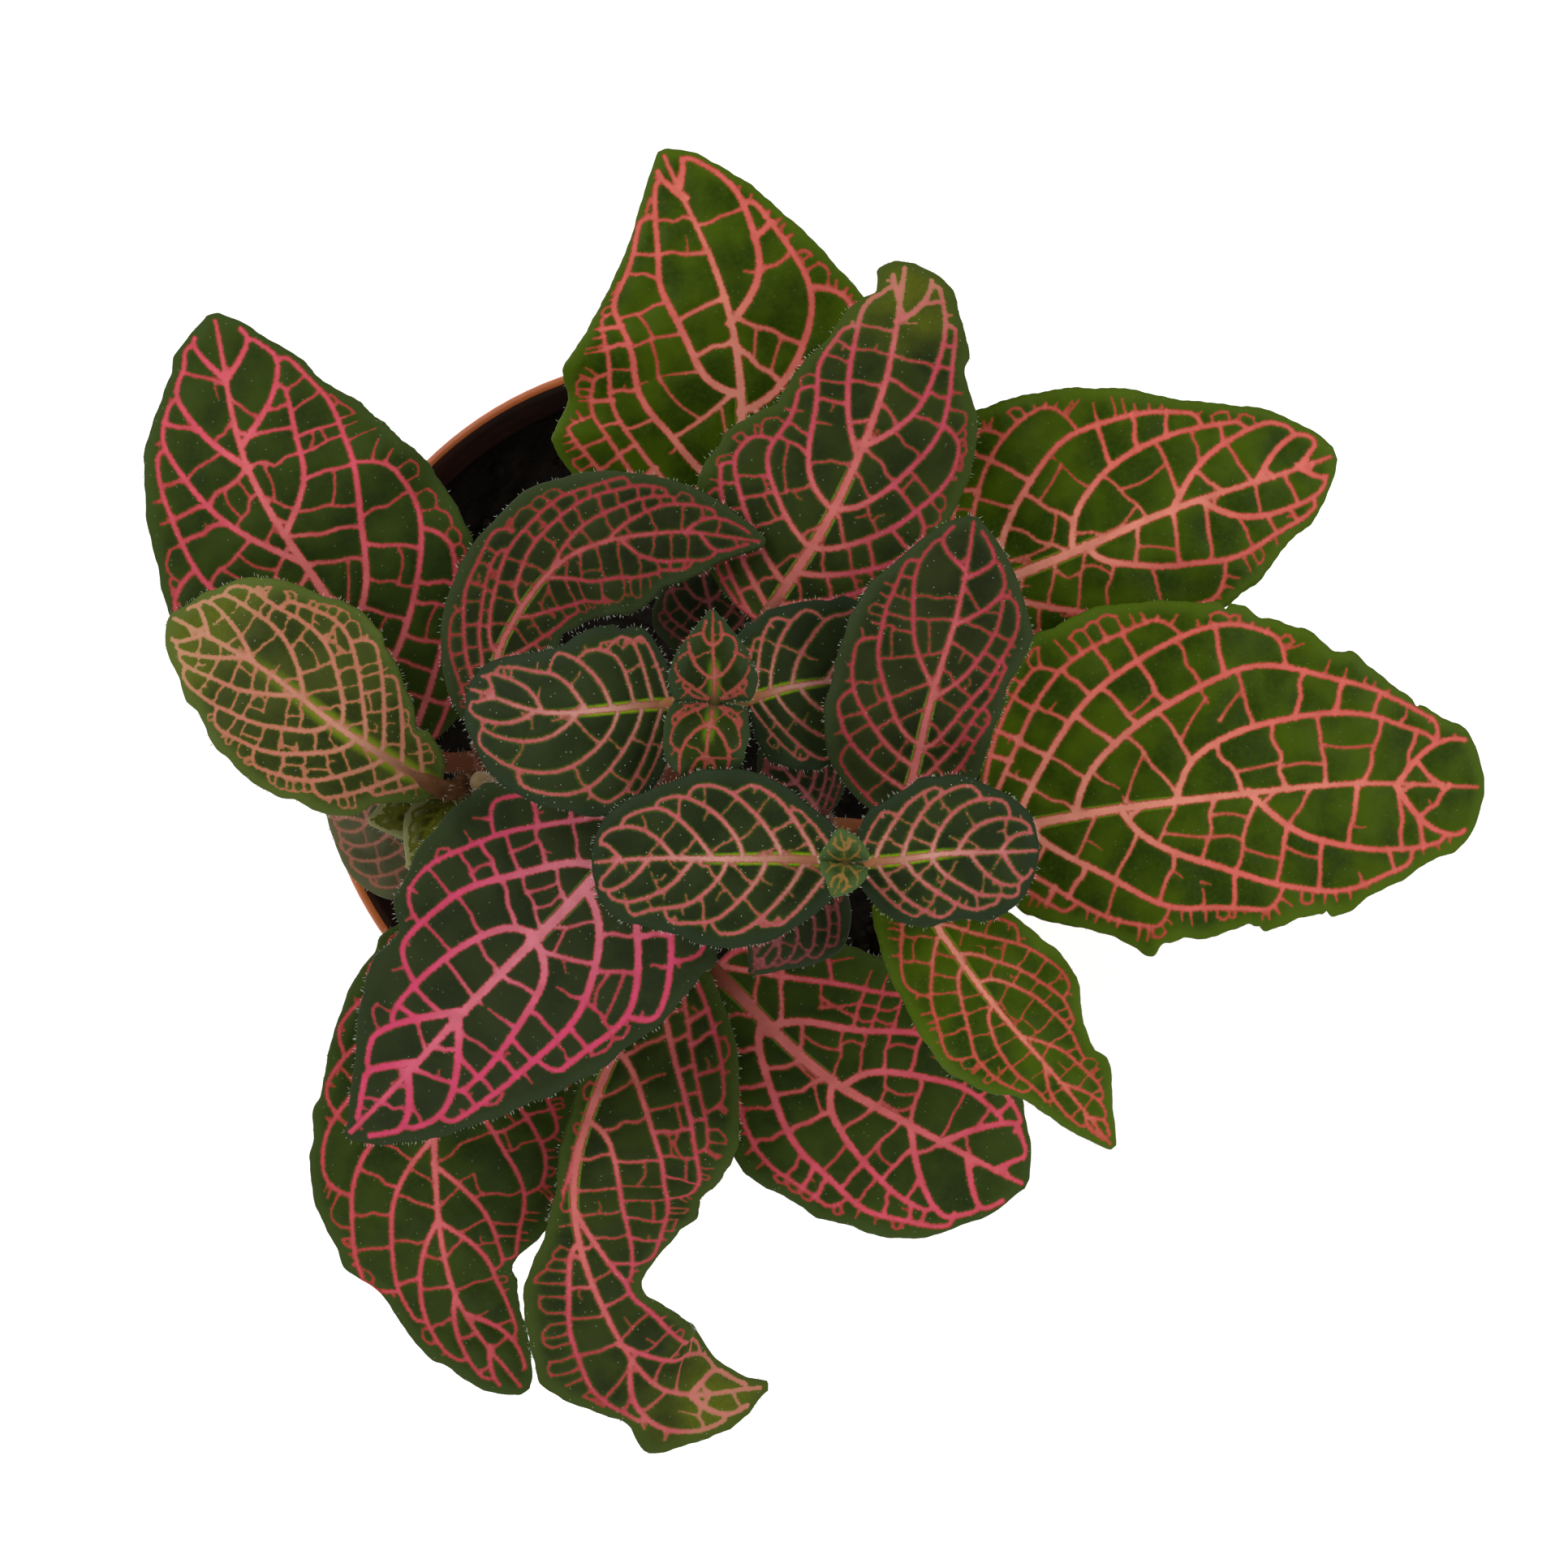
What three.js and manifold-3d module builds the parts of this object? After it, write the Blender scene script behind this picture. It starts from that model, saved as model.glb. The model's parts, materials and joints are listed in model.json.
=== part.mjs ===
// A pink nerve plant in a round nursery pot, in millimetres.
// +Z is up, the origin is the middle of the pot's underside, and north is +Y.
// Four stems stand in holes in the soil. Each leaf is one blade with its stalk, seated on its stem.
import * as THREE from "three";
import { mergeVertices } from "three/addons/utils/BufferGeometryUtils.js";
import Module from "manifold-3d";

// Clearance between pieces that touch
const SEAT_GAP = 0.3;

// The pot
const POT_HEIGHT = 80;
const RIM_RADIUS = 45;
const RIM_WIDTH = 1.8;
const RIM_BAND_HEIGHT = 9;
const RIM_BAND_STEP = 1.1;
const BASE_RADIUS = 31;
const WALL = 1.3;
const FLOOR = 1.6;
const EDGE_ROUND = 0.7;
const DRAIN_HOLES = 6;
const DRAIN_HOLE_RADIUS = 3.5;
const DRAIN_HOLE_SIDES = 20;
const DRAIN_CIRCLE_RADIUS = 20;
const POT_SIDES = 40;

// The soil
const SOIL_TOP = 69;
const SOIL_EDGE_DROP = 1.2;
const SOIL_LUMP = 0.5;
const SOIL_WAVES = [[0.31, 0.12], [0.13, -0.41], [0.7, 0.5]];
const SOIL_RINGS = 8;
const SOIL_SIDES = 28;
const HOLE_SIDES = 10;

// The stems
const ROOT_DEPTH = 21;
const STEM_SIDES = 8;
const STEM_STEP = 5;
const NODE_SWELL = 0.3;
const NODE_LENGTH = 2.4;
const TOP_TAPER = 0.5;
const PATH_STEP = 0.02;
const HEIGHT_ACCURACY = 0.0001;

// The leaves
const BLADE_THICKNESS = 0.8;
const STALK_SIDES = 6;
const STALK_STEPS = 3;
const STALK_PULL = 0.38;
const BASE_ROUNDING = 2.4;
const TIP_ROUNDING = 1.25;
const TIP_HALF_WIDTH = 0.45;
const WIDE_BLADE = 12;
const NARROW_BLADE = 5.5;
const ROW_SWEEP = 0.15;
const QUILT = 0.3;
const CREASE_SOFTNESS = 1.2;
const WAVES_PER_PAIR = 0.5;
const SIDE_PHASE = 2.5;
const SLOPE_STEP = 0.2;

const STEMS = [
  {
    name: "stem_middle", foot: 1.9, top: 1.15,
    path: [[3, 1, 72], [2.4, 0.4, 92], [2.8, 0.9, 113], [4, 1.7, 133]],
  },
  {
    name: "stem_right", foot: 1.8, top: 1.05,
    path: [[13, -9, 72], [14.5, -11, 94], [17.4, -14.4, 116], [19, -16.1, 138]],
  },
  {
    name: "stem_left", foot: 1.7, top: 1.1,
    path: [[-14, -3, 72], [-17, -4, 84], [-21, -6, 96], [-23.8, -7.3, 106]],
  },
  {
    name: "stem_front", foot: 1.7, top: 1.1,
    path: [[-1, -14, 72], [-1.2, -18, 82], [-0.6, -23.4, 92], [-0.3, -27.5, 100]],
  },
];

// Leaf sizes by place. A rib runs from the stalk's end to the leaf's tip.
// left and right are half-widths at even steps along it, seen from above.
// fold lifts the two halves from the rib, roll tips the blade to its right, both in mm per mm.
const LEAVES = [
  {
    name: "bud_middle_north", stem: "stem_middle", node: 131.6, stalk: 0.7, pairs: 3, young: true,
    rib: [[4.3, 4.2, 135], [4.3, 8.2, 138.5], [4.3, 12, 139.5]],
    left: [4.2, 5, 4.4, 3.5, 2], right: [4.2, 4.6, 4, 3.2, 1.8], fold: 0.3, roll: 0, wave: 0.1,
  },
  {
    name: "bud_middle_south", stem: "stem_middle", node: 131.6, stalk: 0.7, pairs: 3, young: true,
    rib: [[3.5, -1.4, 134.2], [3.3, -4.7, 135.6], [3, -8, 134.4]],
    left: [4, 4.3, 4, 3.5, 2], right: [4.4, 5, 4.5, 4, 2.6], fold: 0.2, roll: 0, wave: 0.1,
  },
  {
    name: "leaf_middle_west", stem: "stem_middle", node: 127.6, stalk: 0.9, pairs: 6, young: true,
    rib: [[-0.2, 1.7, 129.4], [-7.4, 1.2, 130.6], [-16, 0.8, 128.4], [-23.8, 3.6, 124.6]],
    left: [9.5, 12, 11.5, 10, 6.5], right: [9, 7.5, 7.5, 7, 5.5], fold: -0.04, roll: 0.04, wave: 0.5,
  },
  {
    name: "leaf_middle_east", stem: "stem_middle", node: 127, stalk: 0.9, pairs: 5, young: true,
    rib: [[8, 2.3, 128.2], [12.9, 3.5, 127.8], [19.3, 4.9, 125.2], [25.5, 6.8, 122]],
    left: [8, 10, 10.5, 10, 7.5], right: [7.5, 9.5, 10, 8.5, 6], fold: 0.02, roll: 0, wave: 0.4,
  },
  {
    name: "leaf_middle_northeast", stem: "stem_middle", node: 113, stalk: 1.1, pairs: 7, young: true,
    rib: [[9.7, 11, 118.6], [17.7, 24.2, 120.4], [23.9, 38.4, 117.6], [26.2, 53.4, 111.5]],
    left: [14, 15, 11, 10, 6], right: [9, 12, 12.5, 10.5, 7], fold: -0.08, roll: 0, wave: 0.6,
  },
  {
    name: "leaf_middle_southwest", stem: "stem_middle", node: 112, stalk: 1.2, pairs: 8, young: true,
    rib: [[-3.5, -10.6, 118], [-14.9, -23.9, 118.6], [-27.3, -36.2, 113], [-39.3, -48.9, 104]],
    left: [17.5, 18.5, 15, 11.5, 7.5], right: [15, 18.5, 17, 12, 6], fold: -0.05, roll: 0, wave: 0.8,
  },
  {
    name: "leaf_middle_far_east", stem: "stem_middle", node: 99, stalk: 1.2, pairs: 7, young: false,
    rib: [[32.7, 14.7, 106], [47.6, 20.6, 107], [62.5, 26.4, 104.6], [77.5, 31.8, 100]],
    left: [18.5, 19, 16.5, 12, 7.5], right: [9.5, 12.5, 13, 11.5, 7.5], fold: -0.08, roll: 0.04, wave: 0.7,
  },
  {
    name: "leaf_middle_north", stem: "stem_middle", node: 87, stalk: 1.2, pairs: 7, young: false,
    rib: [[6.3, 20.2, 96], [7, 36.8, 100], [4.4, 53, 100.4], [-2.4, 68, 97]],
    left: [20, 23, 19, 17, 7.5], right: [13.5, 17.5, 17, 12, 6.5], fold: -0.06, roll: 0, wave: 0.8,
  },
  {
    name: "leaf_middle_deep", stem: "stem_middle", node: 103, stalk: 0.9, pairs: 4, young: false,
    rib: [[4.2, 6.6, 107], [3.4, 14, 108.4], [1.4, 22.5, 107]],
    left: [5, 6.6, 6.6, 5, 3], right: [4.5, 6, 6, 4.6, 2.6], fold: 0, roll: 0, wave: 0.3,
  },
  {
    name: "bud_right_north", stem: "stem_right", node: 136.8, stalk: 0.6, pairs: 2, young: true,
    rib: [[18.9, -14.1, 139.5], [18.8, -12.8, 141.4], [18.6, -11.6, 142.4]],
    left: [2, 2.4, 2.2, 1.6, 0.9], right: [2, 2.6, 2.3, 1.7, 0.9], fold: 0.25, roll: 0, wave: 0,
  },
  {
    name: "bud_right_south", stem: "stem_right", node: 136.8, stalk: 0.6, pairs: 2, young: true,
    rib: [[19, -18.1, 139.5], [18.9, -19.3, 141.4], [18.7, -20.6, 142.4]],
    left: [2, 2.6, 2.3, 1.7, 0.9], right: [2, 2.4, 2.2, 1.6, 0.9], fold: 0.25, roll: 0, wave: 0,
  },
  {
    name: "leaf_right_west", stem: "stem_right", node: 134.2, stalk: 0.8, pairs: 6, young: true,
    rib: [[15.8, -16, 135.6], [8.1, -15.7, 137.2], [-0.6, -15.8, 136], [-9.4, -16.2, 132.8]],
    left: [9, 10, 9.5, 8, 5.6], right: [7.5, 9.5, 9.5, 8, 5.6], fold: 0.03, roll: 0, wave: 0.4,
  },
  {
    name: "leaf_right_east", stem: "stem_right", node: 134.2, stalk: 0.8, pairs: 5, young: true,
    rib: [[22.7, -16.2, 135.4], [27.6, -15.6, 137.2], [34.2, -15, 136.4], [40.8, -14.9, 134]],
    left: [7.5, 9, 9, 8, 5.6], right: [6.5, 7.5, 8, 7.5, 5], fold: 0.03, roll: 0, wave: 0.4,
  },
  {
    name: "leaf_right_north", stem: "stem_right", node: 120, stalk: 1, pairs: 7, young: true,
    rib: [[25.4, -11.5, 128.6], [28.3, -0.1, 132], [31.5, 11.1, 133.4], [33.7, 22.7, 132]],
    left: [10, 11.5, 11.5, 9.5, 5.5], right: [7, 7.5, 8, 8.5, 6], fold: -0.12, roll: 0, wave: 0.5,
  },
  {
    name: "leaf_right_southeast", stem: "stem_right", node: 120, stalk: 1, pairs: 7, young: false,
    rib: [[27.5, -20.9, 125], [34.9, -30.8, 124], [42.7, -40.3, 119], [50.6, -49.7, 111]],
    left: [6.5, 10, 9, 6, 3.6], right: [7, 8.5, 8.5, 5, 3], fold: 0.05, roll: 0, wave: 0.9,
  },
  {
    name: "leaf_right_far_east", stem: "stem_right", node: 105, stalk: 1.3, pairs: 8, young: false,
    rib: [[35.9, -13.5, 111.4], [55.4, -9.5, 112], [75.1, -7.8, 108], [95, -7.6, 101.5]],
    left: [21, 24, 23, 18, 11.5], right: [14, 17, 15.5, 15.5, 10], fold: -0.05, roll: 0, wave: 0.9,
  },
  {
    name: "leaf_right_deep", stem: "stem_right", node: 112, stalk: 0.8, pairs: 4, young: true,
    rib: [[14.6, -20.4, 117], [11.2, -25.4, 117.6], [7.4, -30.6, 115]],
    left: [4.5, 6, 6, 4.6, 2.4], right: [4.5, 6, 6, 4.6, 2.4], fold: 0, roll: 0, wave: 0.3,
  },
  {
    name: "leaf_right_northwest", stem: "stem_right", node: 112, stalk: 0.8, pairs: 4, young: true,
    rib: [[14.6, -11.4, 116], [11.6, -7.4, 117.4], [7.8, -2.6, 116]],
    left: [4.5, 6, 6, 4.6, 2.4], right: [4.5, 6, 6, 4.6, 2.4], fold: 0, roll: 0, wave: 0.3,
  },
  {
    name: "bud_left_north", stem: "stem_left", node: 99.4, stalk: 0.6, pairs: 3, young: true,
    rib: [[-26.4, -9.8, 102], [-31.6, -10.2, 103], [-36.8, -11.8, 102.4]],
    left: [3, 4, 3.8, 2.8, 1.4], right: [2.4, 3.2, 3.2, 2.4, 1.4], fold: -0.1, roll: 0, wave: 0.4,
  },
  {
    name: "bud_left_south", stem: "stem_left", node: 101.2, stalk: 0.6, pairs: 3, young: true,
    rib: [[-24.8, -11.2, 103.2], [-28.4, -13.8, 105], [-32.2, -17.4, 104.6]],
    left: [2.8, 3.8, 3.8, 3, 1.6], right: [2.4, 3.4, 3.4, 2.6, 1.4], fold: -0.15, roll: 0, wave: 0.4,
  },
  {
    name: "leaf_left_west", stem: "stem_left", node: 103.6, stalk: 1.2, pairs: 6, young: true,
    rib: [[-28.4, -7.8, 108], [-38.8, -1.6, 111], [-48.8, 6.3, 110], [-60, 12.2, 106]],
    left: [5.5, 9.5, 11, 10, 6.5], right: [6.5, 10, 12, 10, 6.5], fold: -0.06, roll: 0, wave: 0.5,
  },
  {
    name: "leaf_left_east", stem: "stem_left", node: 103.6, stalk: 1.1, pairs: 8, young: true,
    rib: [
      [-23.1, -1.2, 109], [-20, 9.9, 115.6], [-12.7, 18.8, 119.6],
      [-1.5, 21.4, 121.4], [10, 20.4, 121.6],
    ],
    left: [6.5, 8.5, 8.5, 8, 5], right: [6, 6, 7, 8, 4.6], fold: 0.02, roll: 0, wave: 0.4,
  },
  {
    name: "leaf_left_north", stem: "stem_left", node: 91, stalk: 1.2, pairs: 8, young: false,
    rib: [[-30.8, -3, 97], [-41.2, 13.2, 101], [-50.9, 29.8, 102], [-55.7, 48.3, 99.5]],
    left: [12, 17, 17.5, 14, 9], right: [14.5, 18, 17.5, 16, 11], fold: -0.05, roll: 0, wave: 0.9,
  },
  {
    name: "leaf_left_deep", stem: "stem_left", node: 84, stalk: 0.8, pairs: 4, young: false,
    rib: [[-27, -12.6, 88.4], [-35, -12.4, 89.6], [-43, -10.6, 87.4]],
    left: [6.5, 8.4, 8.6, 7.4, 4.6], right: [5, 6, 6, 5, 3], fold: 0, roll: -0.1, wave: 0.3,
  },
  {
    name: "leaf_front_south", stem: "stem_front", node: 96, stalk: 1.1, pairs: 8, young: true,
    rib: [
      [-3.8, -31, 103.4], [-9.4, -43.1, 105.4], [-12.4, -56.1, 104],
      [-9.6, -69, 101], [-2.4, -79.5, 97], [10.2, -79.6, 92],
    ],
    left: [15, 17.5, 15.5, 11.5, 6, 8, 5],
    right: [3, 3, 3, 7.5, 10, 8.5, 4], fold: 0.02, roll: 0.06, wave: 0.8,
  },
  {
    name: "leaf_front_southeast", stem: "stem_front", node: 93, stalk: 1.1, pairs: 7, young: true,
    rib: [[5.8, -31.5, 97.4], [16.3, -41.2, 100], [28.4, -48.8, 99], [41.2, -55.2, 94]],
    left: [13.5, 16.5, 17, 15.5, 9.5], right: [12, 15.5, 15, 13.5, 9.5], fold: -0.06, roll: 0, wave: 0.6,
  },
  {
    name: "leaf_front_southwest", stem: "stem_front", node: 86, stalk: 1.2, pairs: 8, young: true,
    rib: [[-23.6, -23.5, 91], [-28.3, -38.1, 95], [-29.7, -53.4, 95], [-27.3, -68.5, 91], [-19.2, -81, 85]],
    left: [15, 16.5, 15.5, 11, 5.5], right: [13.5, 15, 15, 12, 6], fold: -0.05, roll: 0, wave: 0.8,
  },
];

const FINISHES = {
  pot: { color: 0xb5622b, roughness: 0.55, metalness: 0 },
  soil: { color: 0x1d1713, roughness: 1, metalness: 0 },
  stem: { color: 0x8c6a3c, roughness: 0.7, metalness: 0 },
  young: { color: 0x43482a, roughness: 0.55, metalness: 0 },
  grown: { color: 0x4c6a1c, roughness: 0.55, metalness: 0 },
};

const wasm = await Module();
wasm.setup();

const plant = new THREE.Group();

function addPiece(name, geometry, finish) {
  const mesh = new THREE.Mesh(geometry, new THREE.MeshStandardMaterial(FINISHES[finish]));
  mesh.name = name;
  plant.add(mesh);
}

// A closed geometry as a solid that can be cut
function solidOf(geometry) {
  const bare = geometry.clone();
  bare.deleteAttribute("normal");
  bare.deleteAttribute("uv");
  const merged = mergeVertices(bare);
  const vertProperties = new Float32Array(merged.attributes.position.array);
  const triVerts = new Uint32Array(merged.index.array);
  return new wasm.Manifold(new wasm.Mesh({ numProp: 3, vertProperties, triVerts }));
}

function geometryOf(solid) {
  const mesh = solid.getMesh();
  const geometry = new THREE.BufferGeometry();
  geometry.setAttribute("position", new THREE.BufferAttribute(mesh.vertProperties, 3));
  geometry.setIndex(new THREE.BufferAttribute(mesh.triVerts, 1));
  return geometry;
}

// A profile of radius and height turned about the Z axis
function turned(profile, sides) {
  const points = profile.map(([radius, height]) => new THREE.Vector2(radius, height));
  return new THREE.LatheGeometry(points, sides).rotateX(Math.PI / 2);
}

// An upright round bar
function bar(x, y, bottom, top, radius, sides) {
  const length = top - bottom;
  const cylinder = new THREE.CylinderGeometry(radius, radius, length, sides).rotateX(Math.PI / 2);
  return cylinder.translate(x, y, bottom + length / 2);
}

// Inner radius of the pot's tapered wall at a height
function innerRadius(height) {
  const share = height / (POT_HEIGHT - RIM_BAND_HEIGHT);
  const top = RIM_RADIUS - RIM_BAND_STEP;
  return BASE_RADIUS + (top - BASE_RADIUS) * share - WALL;
}

function pot() {
  const bandBottom = POT_HEIGHT - RIM_BAND_HEIGHT;
  const wallTop = RIM_RADIUS - RIM_BAND_STEP;
  const rimInner = RIM_RADIUS - RIM_WIDTH;
  const profile = [
    [0, 0],
    [BASE_RADIUS - EDGE_ROUND, 0],
    [BASE_RADIUS + EDGE_ROUND, EDGE_ROUND * 2],
    [wallTop, bandBottom],
    [RIM_RADIUS - EDGE_ROUND, bandBottom],
    [RIM_RADIUS, bandBottom + EDGE_ROUND],
    [RIM_RADIUS, POT_HEIGHT - EDGE_ROUND],
    [rimInner + RIM_WIDTH / 2, POT_HEIGHT],
    [rimInner, POT_HEIGHT - EDGE_ROUND],
    [innerRadius(bandBottom), bandBottom],
    [innerRadius(FLOOR + EDGE_ROUND), FLOOR + EDGE_ROUND],
    [innerRadius(FLOOR) - EDGE_ROUND, FLOOR],
    [0, FLOOR],
  ];
  let solid = solidOf(turned(profile, POT_SIDES));
  for (let i = 0; i < DRAIN_HOLES; i += 1) {
    const angle = (2 * Math.PI * i) / DRAIN_HOLES;
    const x = DRAIN_CIRCLE_RADIUS * Math.cos(angle);
    const y = DRAIN_CIRCLE_RADIUS * Math.sin(angle);
    const drill = bar(x, y, -FLOOR, 2 * FLOOR, DRAIN_HOLE_RADIUS, DRAIN_HOLE_SIDES);
    solid = solid.subtract(solidOf(drill));
  }
  return geometryOf(solid);
}

// Height of the soil's lumps at a place, from crossing waves
function soilLump(x, y) {
  const heights = SOIL_WAVES.map(([east, north]) => Math.sin(east * x + north * y));
  return SOIL_LUMP * heights.reduce((sum, height) => sum + height);
}

// The soil fills the pot to its surface and has one plain hole for each stem
function soil() {
  const floor = FLOOR + SEAT_GAP;
  const edgeTop = SOIL_TOP - SOIL_EDGE_DROP;
  const edge = innerRadius(edgeTop) - SEAT_GAP;
  const profile = [[0, floor], [innerRadius(floor) - SEAT_GAP - EDGE_ROUND, floor]];
  for (let i = SOIL_RINGS; i >= 0; i -= 1) {
    const share = i / SOIL_RINGS;
    profile.push([edge * share, SOIL_TOP - SOIL_EDGE_DROP * share ** 4]);
  }
  const body = turned(profile, SOIL_SIDES);
  const places = body.attributes.position;
  for (let i = 0; i < places.count; i += 1) {
    const [x, y, z] = [places.getX(i), places.getY(i), places.getZ(i)];
    const isSurface = z > SOIL_TOP / 2 && Math.hypot(x, y) < edge - SEAT_GAP;
    if (isSurface) places.setZ(i, z + soilLump(x, y));
  }
  let solid = solidOf(body);
  for (const stem of STEMS) {
    const [x, y, top] = stem.path[0];
    const bottom = SOIL_TOP - ROOT_DEPTH - SEAT_GAP;
    const drill = bar(x, y, bottom, top, stem.foot + SEAT_GAP, HOLE_SIDES);
    solid = solid.subtract(solidOf(drill));
  }
  return geometryOf(solid);
}

// A smooth curve through evenly spaced values, carried straight on past its ends
function smooth(values, t) {
  const last = values.length - 1;
  const place = THREE.MathUtils.clamp(t, 0, 1) * last;
  const i = Math.min(Math.floor(place), last - 1);
  const f = place - i;
  const [a, b] = [values[i], values[i + 1]];
  const before = i > 0 ? values[i - 1] : 2 * a - b;
  const after = i < last - 1 ? values[i + 2] : 2 * b - a;
  const [slopeA, slopeB] = [(b - before) / 2, (after - a) / 2];
  const cubic = 2 * (a - b) + slopeA + slopeB;
  const square = 3 * (b - a) - 2 * slopeA - slopeB;
  return ((cubic * f + square) * f + slopeA) * f + a;
}

function pointOn(path, t) {
  const along = (axis) => smooth(path.map((point) => point[axis]), t);
  return new THREE.Vector3(along(0), along(1), along(2));
}

function directionOn(path, t) {
  return pointOn(path, t + PATH_STEP).sub(pointOn(path, t - PATH_STEP)).normalize();
}

// Rings of points joined into one closed body
class Loft {
  constructor() {
    this.points = [];
    this.faces = [];
    this.ring = null;
  }

  addRing(points, splitBack = points.length) {
    const ring = points.map((point) => this.points.push(point) - 1);
    if (this.ring === null) this.close(ring, true);
    else if (this.ring.length === ring.length) this.join(this.ring, ring, splitBack);
    else this.zip(this.ring, ring);
    this.ring = ring;
  }

  // Quads between rings alike, cut the other way round from splitBack on
  join(behind, ahead, splitBack) {
    const count = behind.length;
    for (let k = 0; k < count; k += 1) {
      const next = (k + 1) % count;
      const [a, b, c, d] = [behind[k], behind[next], ahead[next], ahead[k]];
      if (k < splitBack) this.faces.push(a, b, c, a, c, d);
      else this.faces.push(a, b, d, b, c, d);
    }
  }

  // Triangles between rings of different counts
  zip(behind, ahead) {
    let [k, j] = [0, 0];
    while (k < behind.length || j < ahead.length) {
      const [from, to] = [behind[k % behind.length], ahead[j % ahead.length]];
      const nearer = (k + 1) / behind.length <= (j + 1) / ahead.length;
      if (j === ahead.length || (k < behind.length && nearer)) {
        k += 1;
        this.faces.push(from, behind[k % behind.length], to);
      } else {
        j += 1;
        this.faces.push(from, ahead[j % ahead.length], to);
      }
    }
  }

  // A flat end across a ring, in strips from one side to the other
  close(ring, backward) {
    let [low, high] = [0, ring.length - 1];
    while (high - low > 1) {
      const corners = [ring[low], ring[low + 1], ring[high]];
      this.faces.push(...(backward ? corners.reverse() : corners));
      low += 1;
      if (high - low < 2) break;
      const others = [ring[low], ring[high - 1], ring[high]];
      this.faces.push(...(backward ? others.reverse() : others));
      high -= 1;
    }
  }

  geometry() {
    this.close(this.ring, false);
    const geometry = new THREE.BufferGeometry();
    geometry.setFromPoints(this.points);
    geometry.setIndex(this.faces);
    return geometry;
  }
}

// A ring round a path: it starts at the left, goes over the top and comes back below
function roundRing(centre, direction, right, radius, sides) {
  const across = right.clone().addScaledVector(direction, -right.dot(direction)).normalize();
  const up = across.clone().cross(direction);
  const points = [];
  for (let k = 0; k < sides; k += 1) {
    const angle = Math.PI - (2 * Math.PI * (k + 0.5)) / sides;
    const point = centre.clone().addScaledVector(across, radius * Math.cos(angle));
    points.push(point.addScaledVector(up, radius * Math.sin(angle)));
  }
  return points;
}

// Share of a stem's path at a height, found by halving
function shareAt(stem, height) {
  let [low, high] = [0, 1];
  while (high - low > HEIGHT_ACCURACY) {
    const middle = (low + high) / 2;
    if (pointOn(stem.path, middle).z < height) low = middle;
    else high = middle;
  }
  return low;
}

// A stem thins towards its top and swells where leaves stand
function stemRadius(stem, height) {
  const [bottom, top] = [stem.path[0][2], stem.path.at(-1)[2]];
  const share = (height - bottom) / (top - bottom);
  const nodes = LEAVES.filter((leaf) => leaf.stem === stem.name).map((leaf) => leaf.node);
  const nearest = Math.min(...nodes.map((node) => Math.abs(node - height)));
  const swell = 1 + NODE_SWELL * Math.exp(-((nearest / NODE_LENGTH) ** 2));
  return THREE.MathUtils.lerp(stem.foot, stem.top, share) * swell;
}

function stemBody(stem) {
  const loft = new Loft();
  const [x, y, soilHeight] = stem.path[0];
  const steps = Math.ceil((stem.path.at(-1)[2] - soilHeight) / STEM_STEP);
  const east = new THREE.Vector3(1, 0, 0);
  const up = new THREE.Vector3(0, 0, 1);
  const end = new THREE.Vector3(x, y, SOIL_TOP - ROOT_DEPTH);
  loft.addRing(roundRing(end, up, east, stem.foot, STEM_SIDES));
  for (let i = 0; i <= steps; i += 1) {
    const t = i / steps;
    const centre = pointOn(stem.path, t);
    const radius = stemRadius(stem, centre.z) * (i === steps ? TOP_TAPER : 1);
    loft.addRing(roundRing(centre, directionOn(stem.path, t), east, radius, STEM_SIDES));
  }
  return loft.geometry();
}

// Half-width of a blade from its even measures, round at the base and pointed at the tip
function halfWidth(leaf, side, t) {
  const measures = [0, ...leaf[side], 0];
  const drawn = (power) => {
    const bent = smooth(measures.map((width) => width ** power), t);
    return Math.max(bent, 0) ** (1 / power);
  };
  const width = THREE.MathUtils.lerp(drawn(BASE_ROUNDING), drawn(TIP_ROUNDING), t);
  return Math.max(width, leaf.stalk * (1 - t), TIP_HALF_WIDTH);
}

function widestOf(leaf) {
  return Math.max(...leaf.left, ...leaf.right);
}

// A point of the blade's middle sheet, at a share of the rib and so many mm to the right of it
function sheetPoint(leaf, t, offset) {
  const centre = pointOn(leaf.rib, t);
  const forward = directionOn(leaf.rib, t).setZ(0).normalize();
  const crease = Math.hypot(offset, CREASE_SOFTNESS) - CREASE_SOFTNESS;
  const phase = 2 * Math.PI * t * leaf.pairs * WAVES_PER_PAIR + (offset < 0 ? SIDE_PHASE : 0);
  const wave = leaf.wave * (offset / widestOf(leaf)) ** 2 * Math.sin(phase);
  return new THREE.Vector3(
    centre.x + forward.y * offset,
    centre.y - forward.x * offset,
    centre.z + leaf.fold * crease - leaf.roll * offset + wave,
  );
}

function sheetNormal(leaf, t, offset) {
  const across = sheetPoint(leaf, t, offset + SLOPE_STEP).sub(sheetPoint(leaf, t, offset - SLOPE_STEP));
  const along = sheetPoint(leaf, t + PATH_STEP, offset).sub(sheetPoint(leaf, t - PATH_STEP, offset));
  return across.cross(along).normalize();
}

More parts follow.
